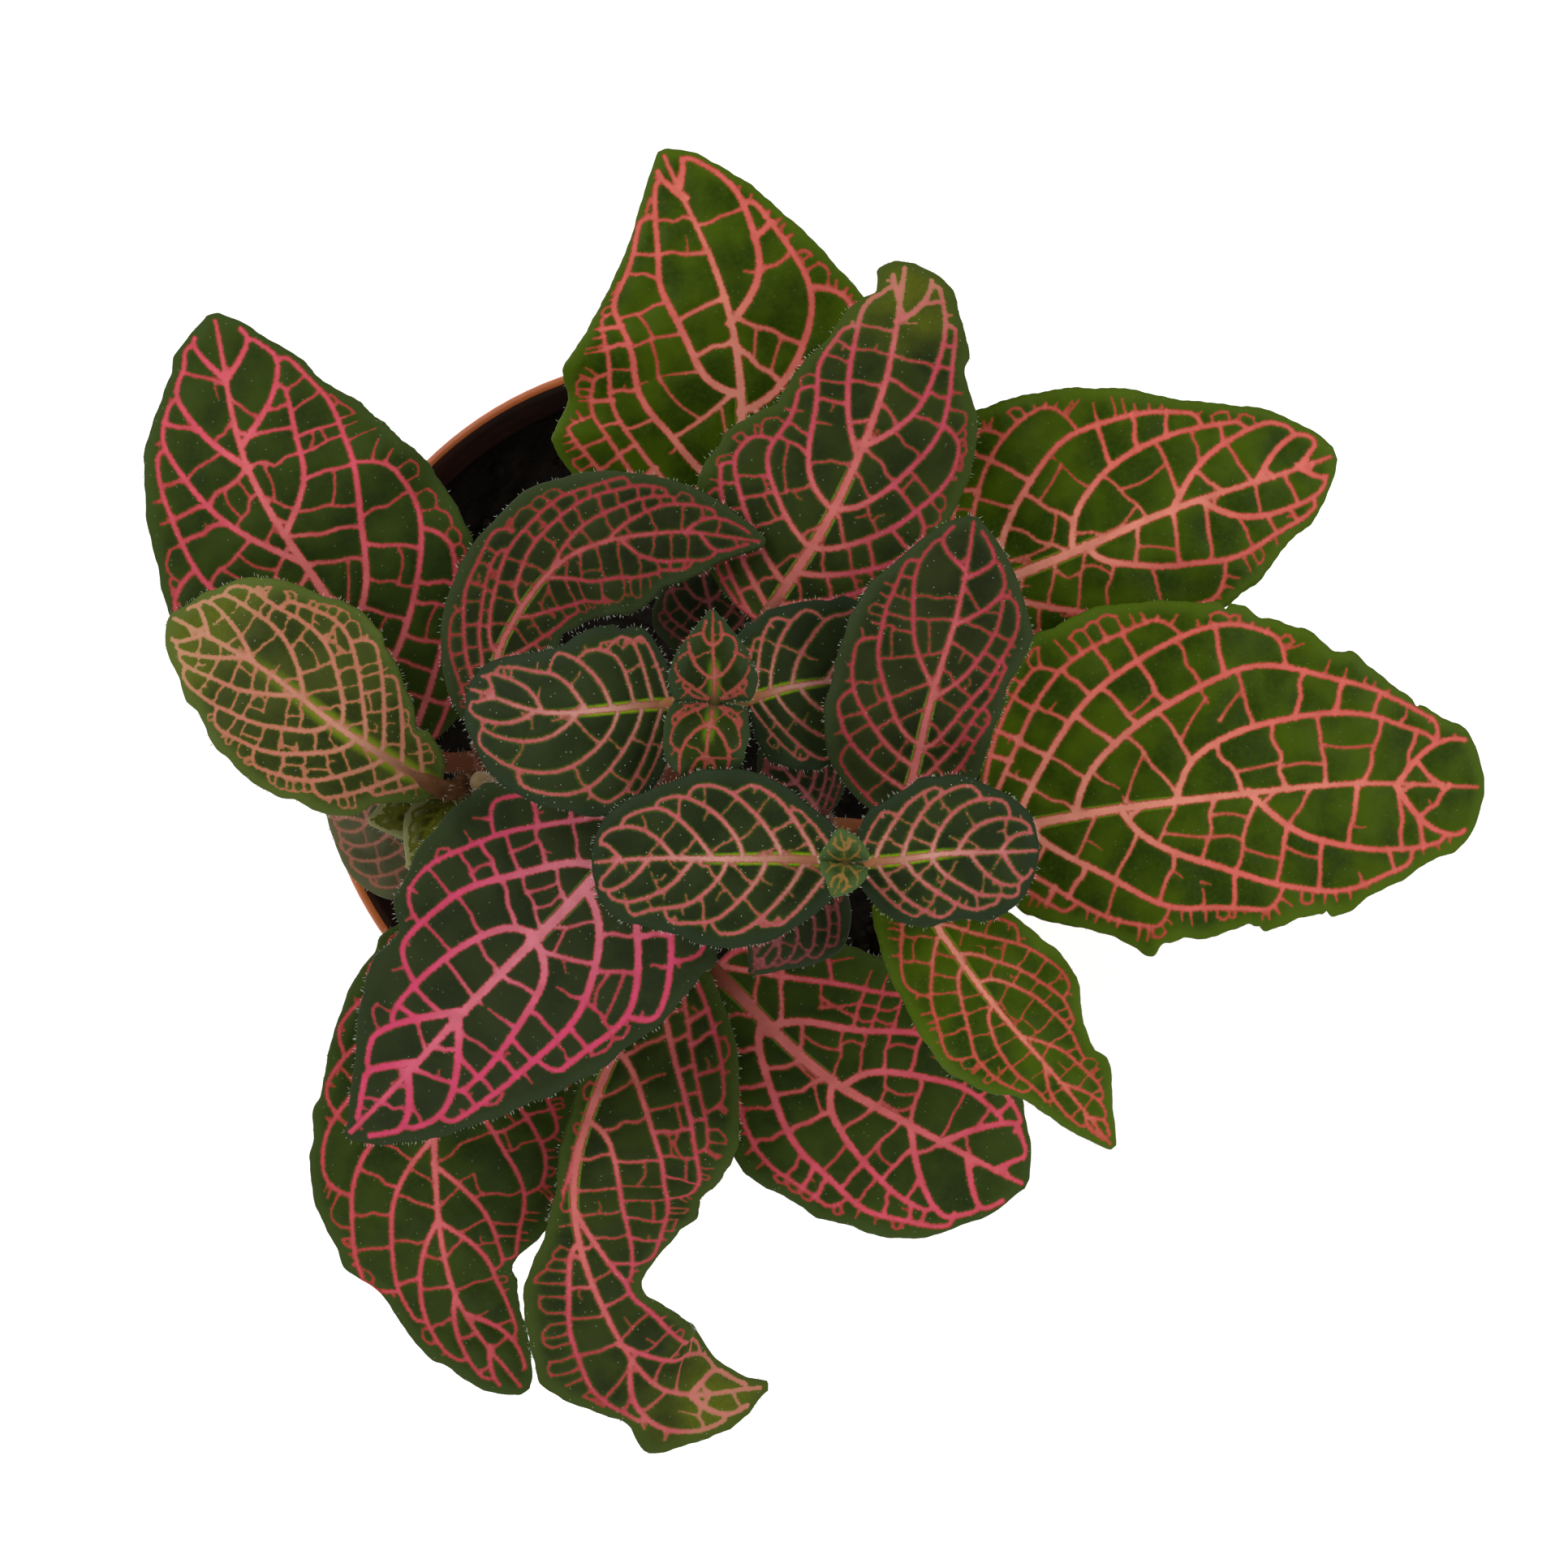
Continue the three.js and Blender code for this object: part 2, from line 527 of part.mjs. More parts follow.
// One row of the blade, swept forward as the side veins are. The rib stands out below.
// The rows rise and fall in turn between rib and edge, as the panels between the side veins do.
function bladeRing(leaf, s, columns) {
  const over = [];
  const under = [];
  for (let j = -columns; j <= columns; j += 1) {
    const u = j / columns;
    const t = s + ROW_SWEEP * Math.sin(Math.PI * s) * Math.abs(u);
    const offset = u * halfWidth(leaf, u < 0 ? "left" : "right", t);
    const normal = sheetNormal(leaf, t, offset);
    const nearRib = Math.max(0, 1 - Math.abs(offset) / (2 * leaf.stalk));
    const keel = leaf.stalk * (1 - s) * nearRib;
    const swell = 4 * Math.abs(u) * (1 - Math.abs(u)) * Math.sin(Math.PI * s);
    const panel = -QUILT * swell * Math.cos(2 * Math.PI * s * (leaf.pairs + 1));
    const point = sheetPoint(leaf, t, offset).addScaledVector(normal, panel);
    over.push(point.clone().addScaledVector(normal, BLADE_THICKNESS / 2));
    under.unshift(point.clone().addScaledVector(normal, -BLADE_THICKNESS / 2 - keel));
  }
  return [...over, ...under];
}

// The stalk leaves the stem square to it and runs on into the rib
function leafBody(leaf) {
  const loft = new Loft();
  const stem = STEMS.find((one) => one.name === leaf.stem);
  const share = shareAt(stem, leaf.node);
  const axis = pointOn(stem.path, share);
  const stemDirection = directionOn(stem.path, share);
  const end = pointOn(leaf.rib, 0);
  const outward = end.clone().sub(axis).setZ(0);
  outward.addScaledVector(stemDirection, -outward.dot(stemDirection)).normalize();
  const start = axis.addScaledVector(outward, stemRadius(stem, leaf.node) + SEAT_GAP);
  const ribDirection = directionOn(leaf.rib, 0);
  const pull = start.distanceTo(end) * STALK_PULL;
  const stalk = new THREE.CubicBezierCurve3(
    start,
    start.clone().addScaledVector(outward, pull),
    end.clone().addScaledVector(ribDirection, -pull),
    end,
  );
  const right = new THREE.Vector3(ribDirection.y, -ribDirection.x, 0).normalize();
  for (let i = 0; i < STALK_STEPS; i += 1) {
    const t = i / STALK_STEPS;
    loft.addRing(roundRing(stalk.getPoint(t), stalk.getTangent(t), right, leaf.stalk, STALK_SIDES));
  }
  const widest = widestOf(leaf);
  const columns = widest > WIDE_BLADE ? 4 : widest > NARROW_BLADE ? 3 : 2;
  const rows = 2 * (leaf.pairs + 1);
  for (let i = 0; i <= rows; i += 1) {
    const isEnd = i === 0 || i === rows;
    const ring = bladeRing(leaf, i / rows, isEnd ? 1 : columns);
    loft.addRing(ring, ring.length / 2);
  }
  return loft.geometry();
}

addPiece("pot", pot(), "pot");
addPiece("soil", soil(), "soil");
for (const stem of STEMS) addPiece(stem.name, stemBody(stem), "stem");
for (const leaf of LEAVES) addPiece(leaf.name, leafBody(leaf), leaf.young ? "young" : "grown");

export default plant;
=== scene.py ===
"""The finished look of a pink nerve plant in a nursery pot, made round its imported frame.

Lengths in the plans below are in millimetres, and meshes are written in metres.
"""
import json
import logging
import math
from dataclasses import dataclass
from enum import Enum

import bpy
import numpy as np
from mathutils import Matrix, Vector
from mathutils.geometry import delaunay_2d_cdt


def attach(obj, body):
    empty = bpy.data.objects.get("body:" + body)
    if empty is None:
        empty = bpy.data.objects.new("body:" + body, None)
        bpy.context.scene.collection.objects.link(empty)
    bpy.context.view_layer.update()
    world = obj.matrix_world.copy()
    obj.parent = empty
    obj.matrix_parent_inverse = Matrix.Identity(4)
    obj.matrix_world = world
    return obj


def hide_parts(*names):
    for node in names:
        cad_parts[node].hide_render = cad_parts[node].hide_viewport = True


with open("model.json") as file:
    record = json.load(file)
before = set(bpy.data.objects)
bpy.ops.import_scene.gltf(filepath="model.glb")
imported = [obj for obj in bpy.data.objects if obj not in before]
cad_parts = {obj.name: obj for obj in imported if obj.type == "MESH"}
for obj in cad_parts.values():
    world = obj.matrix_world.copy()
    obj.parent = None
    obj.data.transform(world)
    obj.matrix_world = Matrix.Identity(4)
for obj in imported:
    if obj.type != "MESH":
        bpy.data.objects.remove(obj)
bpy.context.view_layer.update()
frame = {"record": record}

LOG = logging.getLogger("nerve_plant")
MM = 0.001
BODY = "root"

# The same even curves and measures as the frame's leaves
BASE_ROUNDING = 2.4
TIP_ROUNDING = 1.25
TIP_HALF_WIDTH = 0.45
CREASE_SOFTNESS = 1.2
WAVES_PER_PAIR = 0.5
SIDE_PHASE = 2.5
SLOPE_STEP = 0.2
PATH_STEP = 0.02
STALK_PULL = 0.38
NODE_SWELL = 0.3
NODE_LENGTH = 2.4

# Steps of the rib's share over which a finer edge is blurred and let in
EDGE_BLUR = (-0.006, 0, 0.006)
EDGE_BLEND = 0.05
TIP_BLUR = (-0.04, -0.02, 0, 0.02)
TIP_SPAN = (0.68, 0.86)

# How finely a blade is drawn
TOP_SPACING = 0.32
UNDER_SPACING = 0.9
EDGE_SPACING = 0.4
BLADE_HALF = 0.25

# Linear tones of a blade that turns with age, of its veins, and of the specks on every blade
YELLOW_GREEN = (0.13, 0.15, 0.006, 1.0)
PALE_VEIN = (0.42, 0.27, 0.14, 1.0)
PALE_SPECK = (0.42, 0.45, 0.36, 1.0)


class Tone(Enum):
    """Finish of a leaf, by its age and the light it stands in."""

    BUD = "bud"
    TINY = "tiny"
    CRUMPLED = "crumpled"
    VELVET = "velvet"
    CRIMSON = "crimson"
    ROSE = "rose"
    OLIVE = "olive"
    AMBER = "amber"
    DUSK = "dusk"
    TURNED = "turned"
    MUTED = "muted"
    SHADE = "shade"


@dataclass(frozen=True)
class LeafFinish:
    """Colours of one kind of leaf, as sRGB hex, and how its surface behaves.

    halo is the tone beside the midrib, which reaches halo_reach mm out and halo_length of
    the way up. stalk_reach is how far the stalk's tone runs up the midrib, and turned is
    the share of the rib where the blade begins to turn yellow-green towards its tip.
    """

    blade_dark: str
    blade_light: str
    midrib: str
    vein: str
    vein_edge: str
    halo: str
    rim: str
    stalk: str
    underside: str = "#5F6B42"
    halo_reach: float = 0.5
    halo_length: float = 0.7
    stalk_reach: float = 0.2
    turned: float = 1.5
    speck: float = 0.5
    sheen: float = 0.0
    roughness: float = 0.55


FINISHES: dict[Tone, LeafFinish] = {
    Tone.BUD: LeafFinish(
        "#161F07", "#263009", "#A86458", "#AE4E52", "#7C3A2A", "#4C6408", "#2C3A22", "#2E3414",
        halo_reach=0.8, halo_length=0.5, speck=0.7,
    ),
    Tone.TINY: LeafFinish(
        "#14210A", "#26360E", "#A87050", "#A86A4A", "#6E5A26", "#2E4410", "#455A30", "#2E3414",
        halo_reach=0.6, halo_length=0.9, speck=0.6,
    ),
    Tone.CRUMPLED: LeafFinish(
        "#262C08", "#55580F", "#77782A", "#70722A", "#4E5414", "#6E7018", "#9A9868", "#5A5220",
        halo_reach=0.6, halo_length=0.9, speck=0.8,
    ),
    Tone.VELVET: LeafFinish(
        "#19210E", "#252E14", "#BC9082", "#BC5E6E", "#824434", "#6C8A0C", "#232F1E", "#8A5A38",
        halo_reach=0.42, halo_length=0.6, stalk_reach=0.5, speck=0.8,
    ),
    Tone.CRIMSON: LeafFinish(
        "#1E2513", "#293018", "#C0707A", "#BA3E60", "#7C302A", "#465A20", "#28331C", "#5E3826",
        halo_reach=0.3, halo_length=0.4, speck=0.5,
    ),
    Tone.ROSE: LeafFinish(
        "#1E290C", "#2E3C0F", "#C46A66", "#C24C5E", "#80321F", "#4C6220", "#35441A", "#5E3826",
        halo_reach=0.3, halo_length=0.4, speck=0.45,
    ),
    Tone.DUSK: LeafFinish(
        "#1A1F0D", "#272D12", "#B0605C", "#A83E54", "#742C22", "#5C7420", "#303B20", "#5E3826",
        halo_reach=0.3, halo_length=0.5, stalk_reach=0.15, speck=0.6,
    ),
    Tone.TURNED: LeafFinish(
        "#1B220D", "#2A3410", "#B8665E", "#B2465A", "#7A3022", "#5C7420", "#384618", "#5E3826",
        halo_reach=0.3, halo_length=0.5, stalk_reach=0.15, speck=0.6, turned=0.72,
    ),
    Tone.OLIVE: LeafFinish(
        "#1F2F02", "#3A4C03", "#CE8470", "#C45E56", "#8A3A22", "#5A6E14", "#44580E", "#6A4024",
        halo_reach=0.3, halo_length=0.4, stalk_reach=0.12, speck=0.25, roughness=0.5,
    ),
    Tone.AMBER: LeafFinish(
        "#222A0E", "#394016", "#B0806A", "#BC746C", "#8F5C3C", "#647218", "#4C5A24", "#4E331C",
        halo_reach=1.1, halo_length=0.85, stalk_reach=0.35, speck=0.6, turned=0.7,
    ),
    Tone.MUTED: LeafFinish(
        "#3A3C24", "#50503A", "#B48272", "#AC7464", "#7A5240", "#5A5E30", "#585A3C", "#5E3826",
        halo_reach=0.3, halo_length=0.4, speck=0.3,
    ),
    Tone.SHADE: LeafFinish(
        "#161B0F", "#232A16", "#9A565E", "#924A54", "#5C3028", "#3F4C16", "#2B341F", "#4A2C20",
        halo_reach=0.3, halo_length=0.4, speck=0.3,
    ),
}


@dataclass(frozen=True)
class StemPlan:
    """A stem's radii and the path of its middle above the soil."""

    name: str
    foot: float
    top: float
    path: tuple


STEMS: dict[str, StemPlan] = {
    plan.name: plan
    for plan in (
        StemPlan(
            "stem_middle", foot=1.9, top=1.15,
            path=((3, 1, 72), (2.4, 0.4, 92), (2.8, 0.9, 113), (4, 1.7, 133)),
        ),
        StemPlan(
            "stem_right", foot=1.8, top=1.05,
            path=((13, -9, 72), (14.5, -11, 94), (17.4, -14.4, 116), (19, -16.1, 138)),
        ),
        StemPlan(
            "stem_left", foot=1.7, top=1.1,
            path=((-14, -3, 72), (-17, -4, 84), (-21, -6, 96), (-23.8, -7.3, 106)),
        ),
        StemPlan(
            "stem_front", foot=1.7, top=1.1,
            path=((-1, -14, 72), (-1.2, -18, 82), (-0.6, -23.4, 92), (-0.3, -27.5, 100)),
        ),
    )
}
SOIL_TOP = 69
ROOT_DEPTH = 21

# Side veins of the young leaves at a tip
BUD_VEINS = ((-0.2, 0.6), (0, 0.6), (0.26, 0.9), (0.6, 1))

# Side veins of the young leaves at a tip
SOFT_VEINS = ((0, 0.8), (0.4, 1))

# Side veins of a blade that the photograph shows only in part
EVEN_VEINS = ((-0.12, 0.5), (0.05, 0.6), (0.17, 0.75), (0.32, 0.9), (0.5, 1.0), (0.68, 1.0), (0.85, 0.9))


@dataclass(frozen=True)
class LeafPlan:
    """A leaf's place and form, and how its veins run.

    left and right are half-widths at even steps along the rib, and edge_left and edge_right
    the finer ones, as pairs of share and half-width, where a blade's edge is known better.
    veins_left and veins_right say for each side vein at which share of the rib it starts,
    how far it leans forward and, for the outer ones, how far out it runs. thick scales the
    veins' widths, rungs how close the rungs stand and whole how many of them run right
    across. fringe is how many fine veins reach for the edge, loops how many of these are
    joined, margin the veinless band and ragged how torn the edge is.
    """

    name: str
    stem: str
    node: float
    stalk: float
    pairs: int
    tone: Tone
    rib: tuple
    left: tuple
    right: tuple
    fold: float
    wave: float
    roll: float = 0.0
    veins_left: tuple = EVEN_VEINS
    veins_right: tuple = EVEN_VEINS
    edge_left: tuple = ()
    edge_right: tuple = ()
    thick: float = 1.0
    rungs: float = 1.0
    whole: float = 0.9
    fringe: float = 1.0
    loops: float = 0.35
    margin: float = 1.3
    ragged: float = 0.0


LEAVES: tuple[LeafPlan, ...] = (
    LeafPlan(
        "bud_middle_north", "stem_middle", node=131.6, stalk=0.7, pairs=3, tone=Tone.BUD,
        rib=((4.4, 1.9, 134.3), (4.3, 7.2, 138.3), (4.2, 12, 139.5)),
        left=(4.2, 5, 4.4, 3.5, 2), right=(4.2, 4.6, 4, 3.2, 1.8), fold=0.3, wave=0.1,
        veins_left=BUD_VEINS, veins_right=BUD_VEINS,
        edge_left=((0, 4.1), (0.1, 4.8), (0.25, 5.1), (0.4, 4.6), (0.6, 3.5), (0.8, 1.9), (0.92, 0.9),
            (1, 0.25)),
        edge_right=((0, 4), (0.1, 4.6), (0.25, 4.8), (0.4, 4.3), (0.6, 3.2), (0.8, 1.8), (0.92, 0.8),
            (1, 0.25)),
        rungs=0.8, fringe=0.5, margin=0.7,
    ),
    LeafPlan(
        "bud_middle_south", "stem_middle", node=131.6, stalk=0.7, pairs=3, tone=Tone.BUD,
        rib=((4.3, 1.8, 134.1), (3.5, -3.3, 136.2), (3, -8, 134.4)),
        left=(4, 4.3, 4, 3.5, 2), right=(4.4, 5, 4.5, 4, 2.6), fold=0.2, wave=0.1,
        veins_left=BUD_VEINS, veins_right=BUD_VEINS,
        edge_left=((0, 3.7), (0.15, 4.3), (0.35, 4.5), (0.55, 4.3), (0.7, 3.7), (0.85, 2.7), (0.95, 1.5),
            (1, 0.4)),
        edge_right=((0, 4.1), (0.15, 4.8), (0.35, 5), (0.55, 4.8), (0.7, 4.1), (0.85, 3), (0.95, 1.6),
            (1, 0.4)),
        rungs=0.8, fringe=0.5, margin=0.7,
    ),
    LeafPlan(
        "leaf_middle_west", "stem_middle", node=127.6, stalk=0.9, pairs=6, tone=Tone.VELVET,
        rib=((-0.2, 1.7, 129.4), (-7.4, 1.2, 130.6), (-16, 0.8, 128.4), (-23.8, 3.6, 124.6)),
        left=(9.5, 12, 11.5, 10, 6.5), right=(9, 7.5, 7.5, 7, 5.5), fold=-0.04, roll=0.04, wave=0.5,
        veins_left=((-0.03, 0.35), (0.07, 0.4), (0.175, 0.65), (0.295, 0.93), (0.47, 0.32, 0.33),
            (0.67, 0.25, 0.3), (0.88, 0.2, 0.4)),
        veins_right=((0.03, 0.2), (0.12, 0.2), (0.215, 0.25), (0.33, 0.35), (0.44, 0.26, 0.55),
            (0.63, 0.2, 0.38), (0.87, 0.2, 0.5)),
        edge_left=((0.2, 10.6), (0.3, 12), (0.4, 12.2), (0.5, 11.7), (0.6, 10.5), (0.7, 9.4), (0.8, 7.4),
            (0.85, 6.2), (0.9, 5.1), (0.94, 4.3), (0.97, 2.9), (1, 0.6)),
        edge_right=((0.3, 9.4), (0.38, 9.2), (0.45, 8.5), (0.5, 7.8), (0.6, 7.1), (0.7, 6.9), (0.8, 6.1),
            (0.85, 5.5), (0.9, 4.9), (0.95, 3.6), (0.98, 2.4), (1, 0.6)),
        thick=0.85, rungs=0.6, whole=0.4, fringe=0.6, margin=1.7,
    ),
    LeafPlan(
        "leaf_middle_east", "stem_middle", node=127, stalk=0.9, pairs=5, tone=Tone.VELVET,
        rib=((8, 2.3, 128.2), (12.9, 3.5, 127.8), (19.3, 4.9, 125.2), (25.5, 6.8, 122)),
        left=(8, 10, 10.5, 10, 7.5), right=(7.5, 9.5, 10, 8.5, 6), fold=0.02, wave=0.4,
        veins_left=((-0.05, 0.35), (0.07, 0.35), (0.185, 0.5), (0.345, 0.68), (0.54, 0.5, 0.6),
            (0.73, 0.3, 0.5)),
        veins_right=((-0.05, 0.4), (0.08, 0.5), (0.22, 0.7), (0.39, 0.9), (0.6, 0.4, 0.55), (0.8, 0.25, 0.5)),
        edge_left=((0.05, 7.3), (0.2, 8.3), (0.3, 9), (0.4, 9.3), (0.6, 9.2), (0.7, 8.7), (0.8, 8.9),
            (0.9, 7.4), (0.96, 4), (1, 0.5)),
        edge_right=((0, 4.5), (0.05, 7.3), (0.1, 7.9), (0.2, 8.7), (0.3, 9.4), (0.4, 9.6), (0.6, 9),
            (0.8, 6.4), (1, 0.5)),
        thick=0.9, rungs=0.6, whole=0.4, fringe=0.6, margin=1.7,
    ),
    LeafPlan(
        "leaf_middle_northeast", "stem_middle", node=113, stalk=1.1, pairs=7, tone=Tone.TURNED,
        rib=((9.7, 11, 118.6), (17.7, 24.2, 120.4), (23.9, 38.4, 117.6), (26.2, 53.4, 111.5)),
        left=(14, 15, 11, 10, 6), right=(9, 12, 12.5, 10.5, 7), fold=-0.08, wave=0.6,
        veins_left=((-0.15, 0.5), (-0.05, 0.5), (0.04, 0.5), (0.114, 0.56), (0.224, 0.68), (0.334, 0.93),
            (0.475, 0.38, 0.37), (0.9, 0.2, 0.4)),
        veins_right=((-0.1, 0.5), (0.06, 0.5), (0.155, 0.5), (0.228, 0.84), (0.338, 1.4), (0.505, 0.55, 0.46),
            (0.84, 0.25, 0.5)),
        edge_left=((0.38, 15), (0.48, 12.5), (0.52, 10.9), (0.615, 10.5), (0.69, 9.5), (0.78, 7.5),
            (0.86, 5.7), (0.9, 4.1), (0.91, 2.8), (0.95, 2.6), (0.97, 3), (0.99, 1.9), (1, 0.8)),
        edge_right=((0.55, 12.6), (0.615, 11.9), (0.67, 10.7), (0.72, 9.1), (0.75, 8.4), (0.78, 8.7),
            (0.86, 7.5), (0.945, 5.9), (0.98, 4), (1, 1)),
        thick=1.12, fringe=0.9,
    ),
    LeafPlan(
        "leaf_middle_southwest", "stem_middle", node=112, stalk=1.2, pairs=8, tone=Tone.CRIMSON,
        rib=((-3.5, -10.6, 118), (-14.9, -23.9, 118.6), (-27.3, -36.2, 113), (-39.3, -48.9, 104)),
        left=(17.5, 18.5, 15, 11.5, 7.5), right=(15, 18.5, 17, 12, 6), fold=-0.05, wave=0.8,
        veins_left=((-0.12, 0.5), (0.029, 0.62), (0.123, 0.76), (0.218, 1.14), (0.375, 1.55),
            (0.62, 0.42, 0.55), (0.79, 0.24, 0.5)),
        veins_right=((-0.2, 0.6), (-0.078, 0.5), (-0.028, 1.14), (0.161, 1.4), (0.362, 1.91),
            (0.6, 0.6, 0.68), (0.765, 0.35, 0.62)),
        edge_left=((0.2, 16.6), (0.3, 17.1), (0.38, 16.3), (0.5, 15.4), (0.6, 13.8), (0.7, 11.8), (0.8, 9.4),
            (0.85, 8), (0.9, 6.3), (0.93, 4.8), (0.96, 3.5), (0.98, 2.1), (1, 0.4)),
        edge_right=((0.2, 16.7), (0.3, 17.4), (0.4, 17.2), (0.45, 16.6), (0.5, 15.6), (0.54, 14.9),
            (0.56, 13.6), (0.575, 11.9), (0.62, 11.7), (0.65, 11.8), (0.7, 11), (0.75, 9.4), (0.8, 7.5),
            (0.85, 5.6), (0.9, 3.7), (0.95, 1.9), (0.98, 0.8), (1, 0.4)),
        thick=1.3, fringe=0.6, loops=0.2, margin=2.2,
    ),
    LeafPlan(
        "leaf_middle_far_east", "stem_middle", node=99, stalk=1.2, pairs=7, tone=Tone.OLIVE,
        rib=((32.7, 14.7, 106), (47.6, 20.6, 107), (62.5, 26.4, 104.6), (77.5, 31.8, 100)),
        left=(18.5, 19, 16.5, 12, 7.5), right=(9.5, 12.5, 13, 11.5, 7.5), fold=-0.08, roll=0.04, wave=0.7,
        veins_left=((-0.12, 0.5), (-0.001, 0.56), (0.106, 0.93), (0.3, 1.14), (0.56, 0.38, 0.42),
            (0.79, 0.25, 0.45), (0.91, 0.2, 0.5)),
        veins_right=((-0.12, 0.8), (0.05, 1.2), (0.333, 1.72), (0.64, 0.3, 0.36), (0.9, 0.2, 0.5)),
        edge_left=((0.2, 19.5), (0.355, 18.9), (0.43, 18), (0.55, 15.8), (0.63, 13.5), (0.7, 11.4),
            (0.79, 9.5), (0.87, 7.6), (0.935, 5), (0.98, 2.6), (1, 0.6)),
        edge_right=((0.58, 12.8), (0.63, 12.2), (0.71, 11.3), (0.74, 10.1), (0.82, 8), (0.89, 6.6),
            (0.935, 4.9), (0.98, 2.6), (1, 0.6)),
        thick=1.12, fringe=1.1, loops=0.2,
    ),
    LeafPlan(
        "leaf_middle_north", "stem_middle", node=87, stalk=1.2, pairs=7, tone=Tone.OLIVE,
        rib=((6.3, 20.2, 96), (7, 36.8, 100), (4.4, 53, 100.4), (-2.4, 68, 97)),
        left=(20, 23, 19, 17, 7.5), right=(13.5, 17.5, 17, 12, 6.5), fold=-0.06, wave=0.8,
        veins_left=((-0.3, 0.8), (-0.186, 1.14), (-0.03, 1.1), (0.133, 1.14), (0.375, 1.9), (0.87, 0.3, 0.5)),
        veins_right=((-0.05, 0.6), (0.1, 0.76), (0.333, 0.93), (0.545, 0.27, 0.37), (0.9, 0.2, 0.5)),
        edge_left=((0.3, 22), (0.4, 20.2), (0.5, 20.4), (0.55, 18.9), (0.6, 16.9), (0.7, 14.1), (0.8, 9.9),
            (0.9, 5.1), (0.95, 2.9), (1, 0.4)),
        edge_right=((0.5, 16.6), (0.55, 16), (0.6, 14.4), (0.7, 11), (0.8, 8.3), (0.9, 5.6), (0.95, 3.8),
            (0.98, 2.2), (1, 0.5)),
        thick=1.12, fringe=1.8, loops=0.15, margin=1.0,
    ),
    LeafPlan(
        "leaf_middle_deep", "stem_middle", node=103, stalk=0.9, pairs=4, tone=Tone.SHADE,
        rib=((4.2, 6.6, 107), (3.4, 14, 108.4), (1.4, 22.5, 107)),
        left=(5, 6.6, 6.6, 5, 3), right=(4.5, 6, 6, 4.6, 2.6), fold=0, wave=0.3,
    ),
    LeafPlan(
        "bud_right_north", "stem_right", node=136.8, stalk=0.6, pairs=2, tone=Tone.TINY,
        rib=((19, -16.05, 139.6), (18.8, -14.2, 141.6), (18.4, -12.4, 142.3)),
        left=(2, 2.4, 2.2, 1.6, 0.9), right=(2, 2.6, 2.3, 1.7, 0.9), fold=0.25, wave=0,
        veins_left=SOFT_VEINS, veins_right=SOFT_VEINS,
        edge_left=((0, 2.6), (0.2, 2.7), (0.45, 2.2), (0.7, 1.4), (0.9, 0.6), (1, 0.15)),
        edge_right=((0, 2.6), (0.2, 2.7), (0.45, 2.2), (0.7, 1.4), (0.9, 0.6), (1, 0.15)),
        rungs=0.5, fringe=0.3, margin=0.5,
    ),
    LeafPlan(
        "bud_right_south", "stem_right", node=136.8, stalk=0.6, pairs=2, tone=Tone.TINY,
        rib=((19, -16.25, 139.6), (18.5, -18.1, 141.6), (17.7, -19.9, 142.3)),
        left=(2, 2.6, 2.3, 1.7, 0.9), right=(2, 2.4, 2.2, 1.6, 0.9), fold=0.25, wave=0,
        veins_left=SOFT_VEINS, veins_right=SOFT_VEINS,
        edge_left=((0, 2.6), (0.2, 2.7), (0.45, 2.2), (0.7, 1.4), (0.9, 0.6), (1, 0.15)),
        edge_right=((0, 2.6), (0.2, 2.7), (0.45, 2.2), (0.7, 1.4), (0.9, 0.6), (1, 0.15)),
        rungs=0.5, fringe=0.3, margin=0.5,
    ),
    LeafPlan(
        "leaf_right_west", "stem_right", node=134.2, stalk=0.8, pairs=6, tone=Tone.VELVET,
        rib=((18.2, -16.1, 135.1), (8.1, -15.7, 137.2), (-0.6, -15.8, 136), (-9.4, -16.2, 132.8)),
        left=(9, 10, 9.5, 8, 5.6), right=(7.5, 9.5, 9.5, 8, 5.6), fold=0.03, wave=0.4,
        veins_left=((0.002, 0.5), (0.121, 0.56), (0.258, 0.7), (0.414, 0.85), (0.56, 0.43, 0.53),
            (0.753, 0.38, 0.5), (0.89, 0.3, 0.5)),
        veins_right=((-0.026, 0.45), (0.077, 0.41), (0.201, 0.62), (0.348, 0.7), (0.478, 0.56, 0.7),
            (0.643, 0.34, 0.47), (0.872, 0.2, 0.42)),
        edge_left=((0, 3.4), (0.04, 4.9), (0.087, 6.2), (0.13, 7.3), (0.176, 8.2), (0.267, 9.5), (0.359, 9.9),
            (0.451, 10), (0.542, 9.5), (0.634, 8.6), (0.725, 7.8), (0.817, 7.3), (0.863, 6.9), (0.908, 6.2),
            (0.954, 5.2), (0.982, 3.9), (1, 1)),
        edge_right=((0, 3.2), (0.04, 4.5), (0.087, 5.5), (0.13, 6.4), (0.176, 7.5), (0.222, 8.4),
            (0.267, 9.2), (0.359, 9.8), (0.451, 9.9), (0.542, 9.7), (0.634, 8.7), (0.725, 7.8), (0.817, 7.1),
            (0.863, 6.2), (0.908, 5.5), (0.936, 4.9), (0.973, 3.2), (1, 1)),
        rungs=0.9, whole=0.5, fringe=0.8, loops=0.6, margin=1.9,
    ),
    LeafPlan(
        "leaf_right_east", "stem_right", node=134.2, stalk=0.8, pairs=5, tone=Tone.VELVET,
        rib=((20.8, -16.3, 134.9), (27.6, -15.6, 137.2), (34.2, -15, 136.4), (40.8, -14.9, 134)),
        left=(7.5, 9, 9, 8, 5.6), right=(6.5, 7.5, 8, 7.5, 5), fold=0.03, wave=0.4,
        veins_left=((-0.091, 0.55), (0.082, 0.6), (0.236, 0.56), (0.391, 0.68), (0.527, 0.3, 0.43),
            (0.782, 0.18, 0.32)),
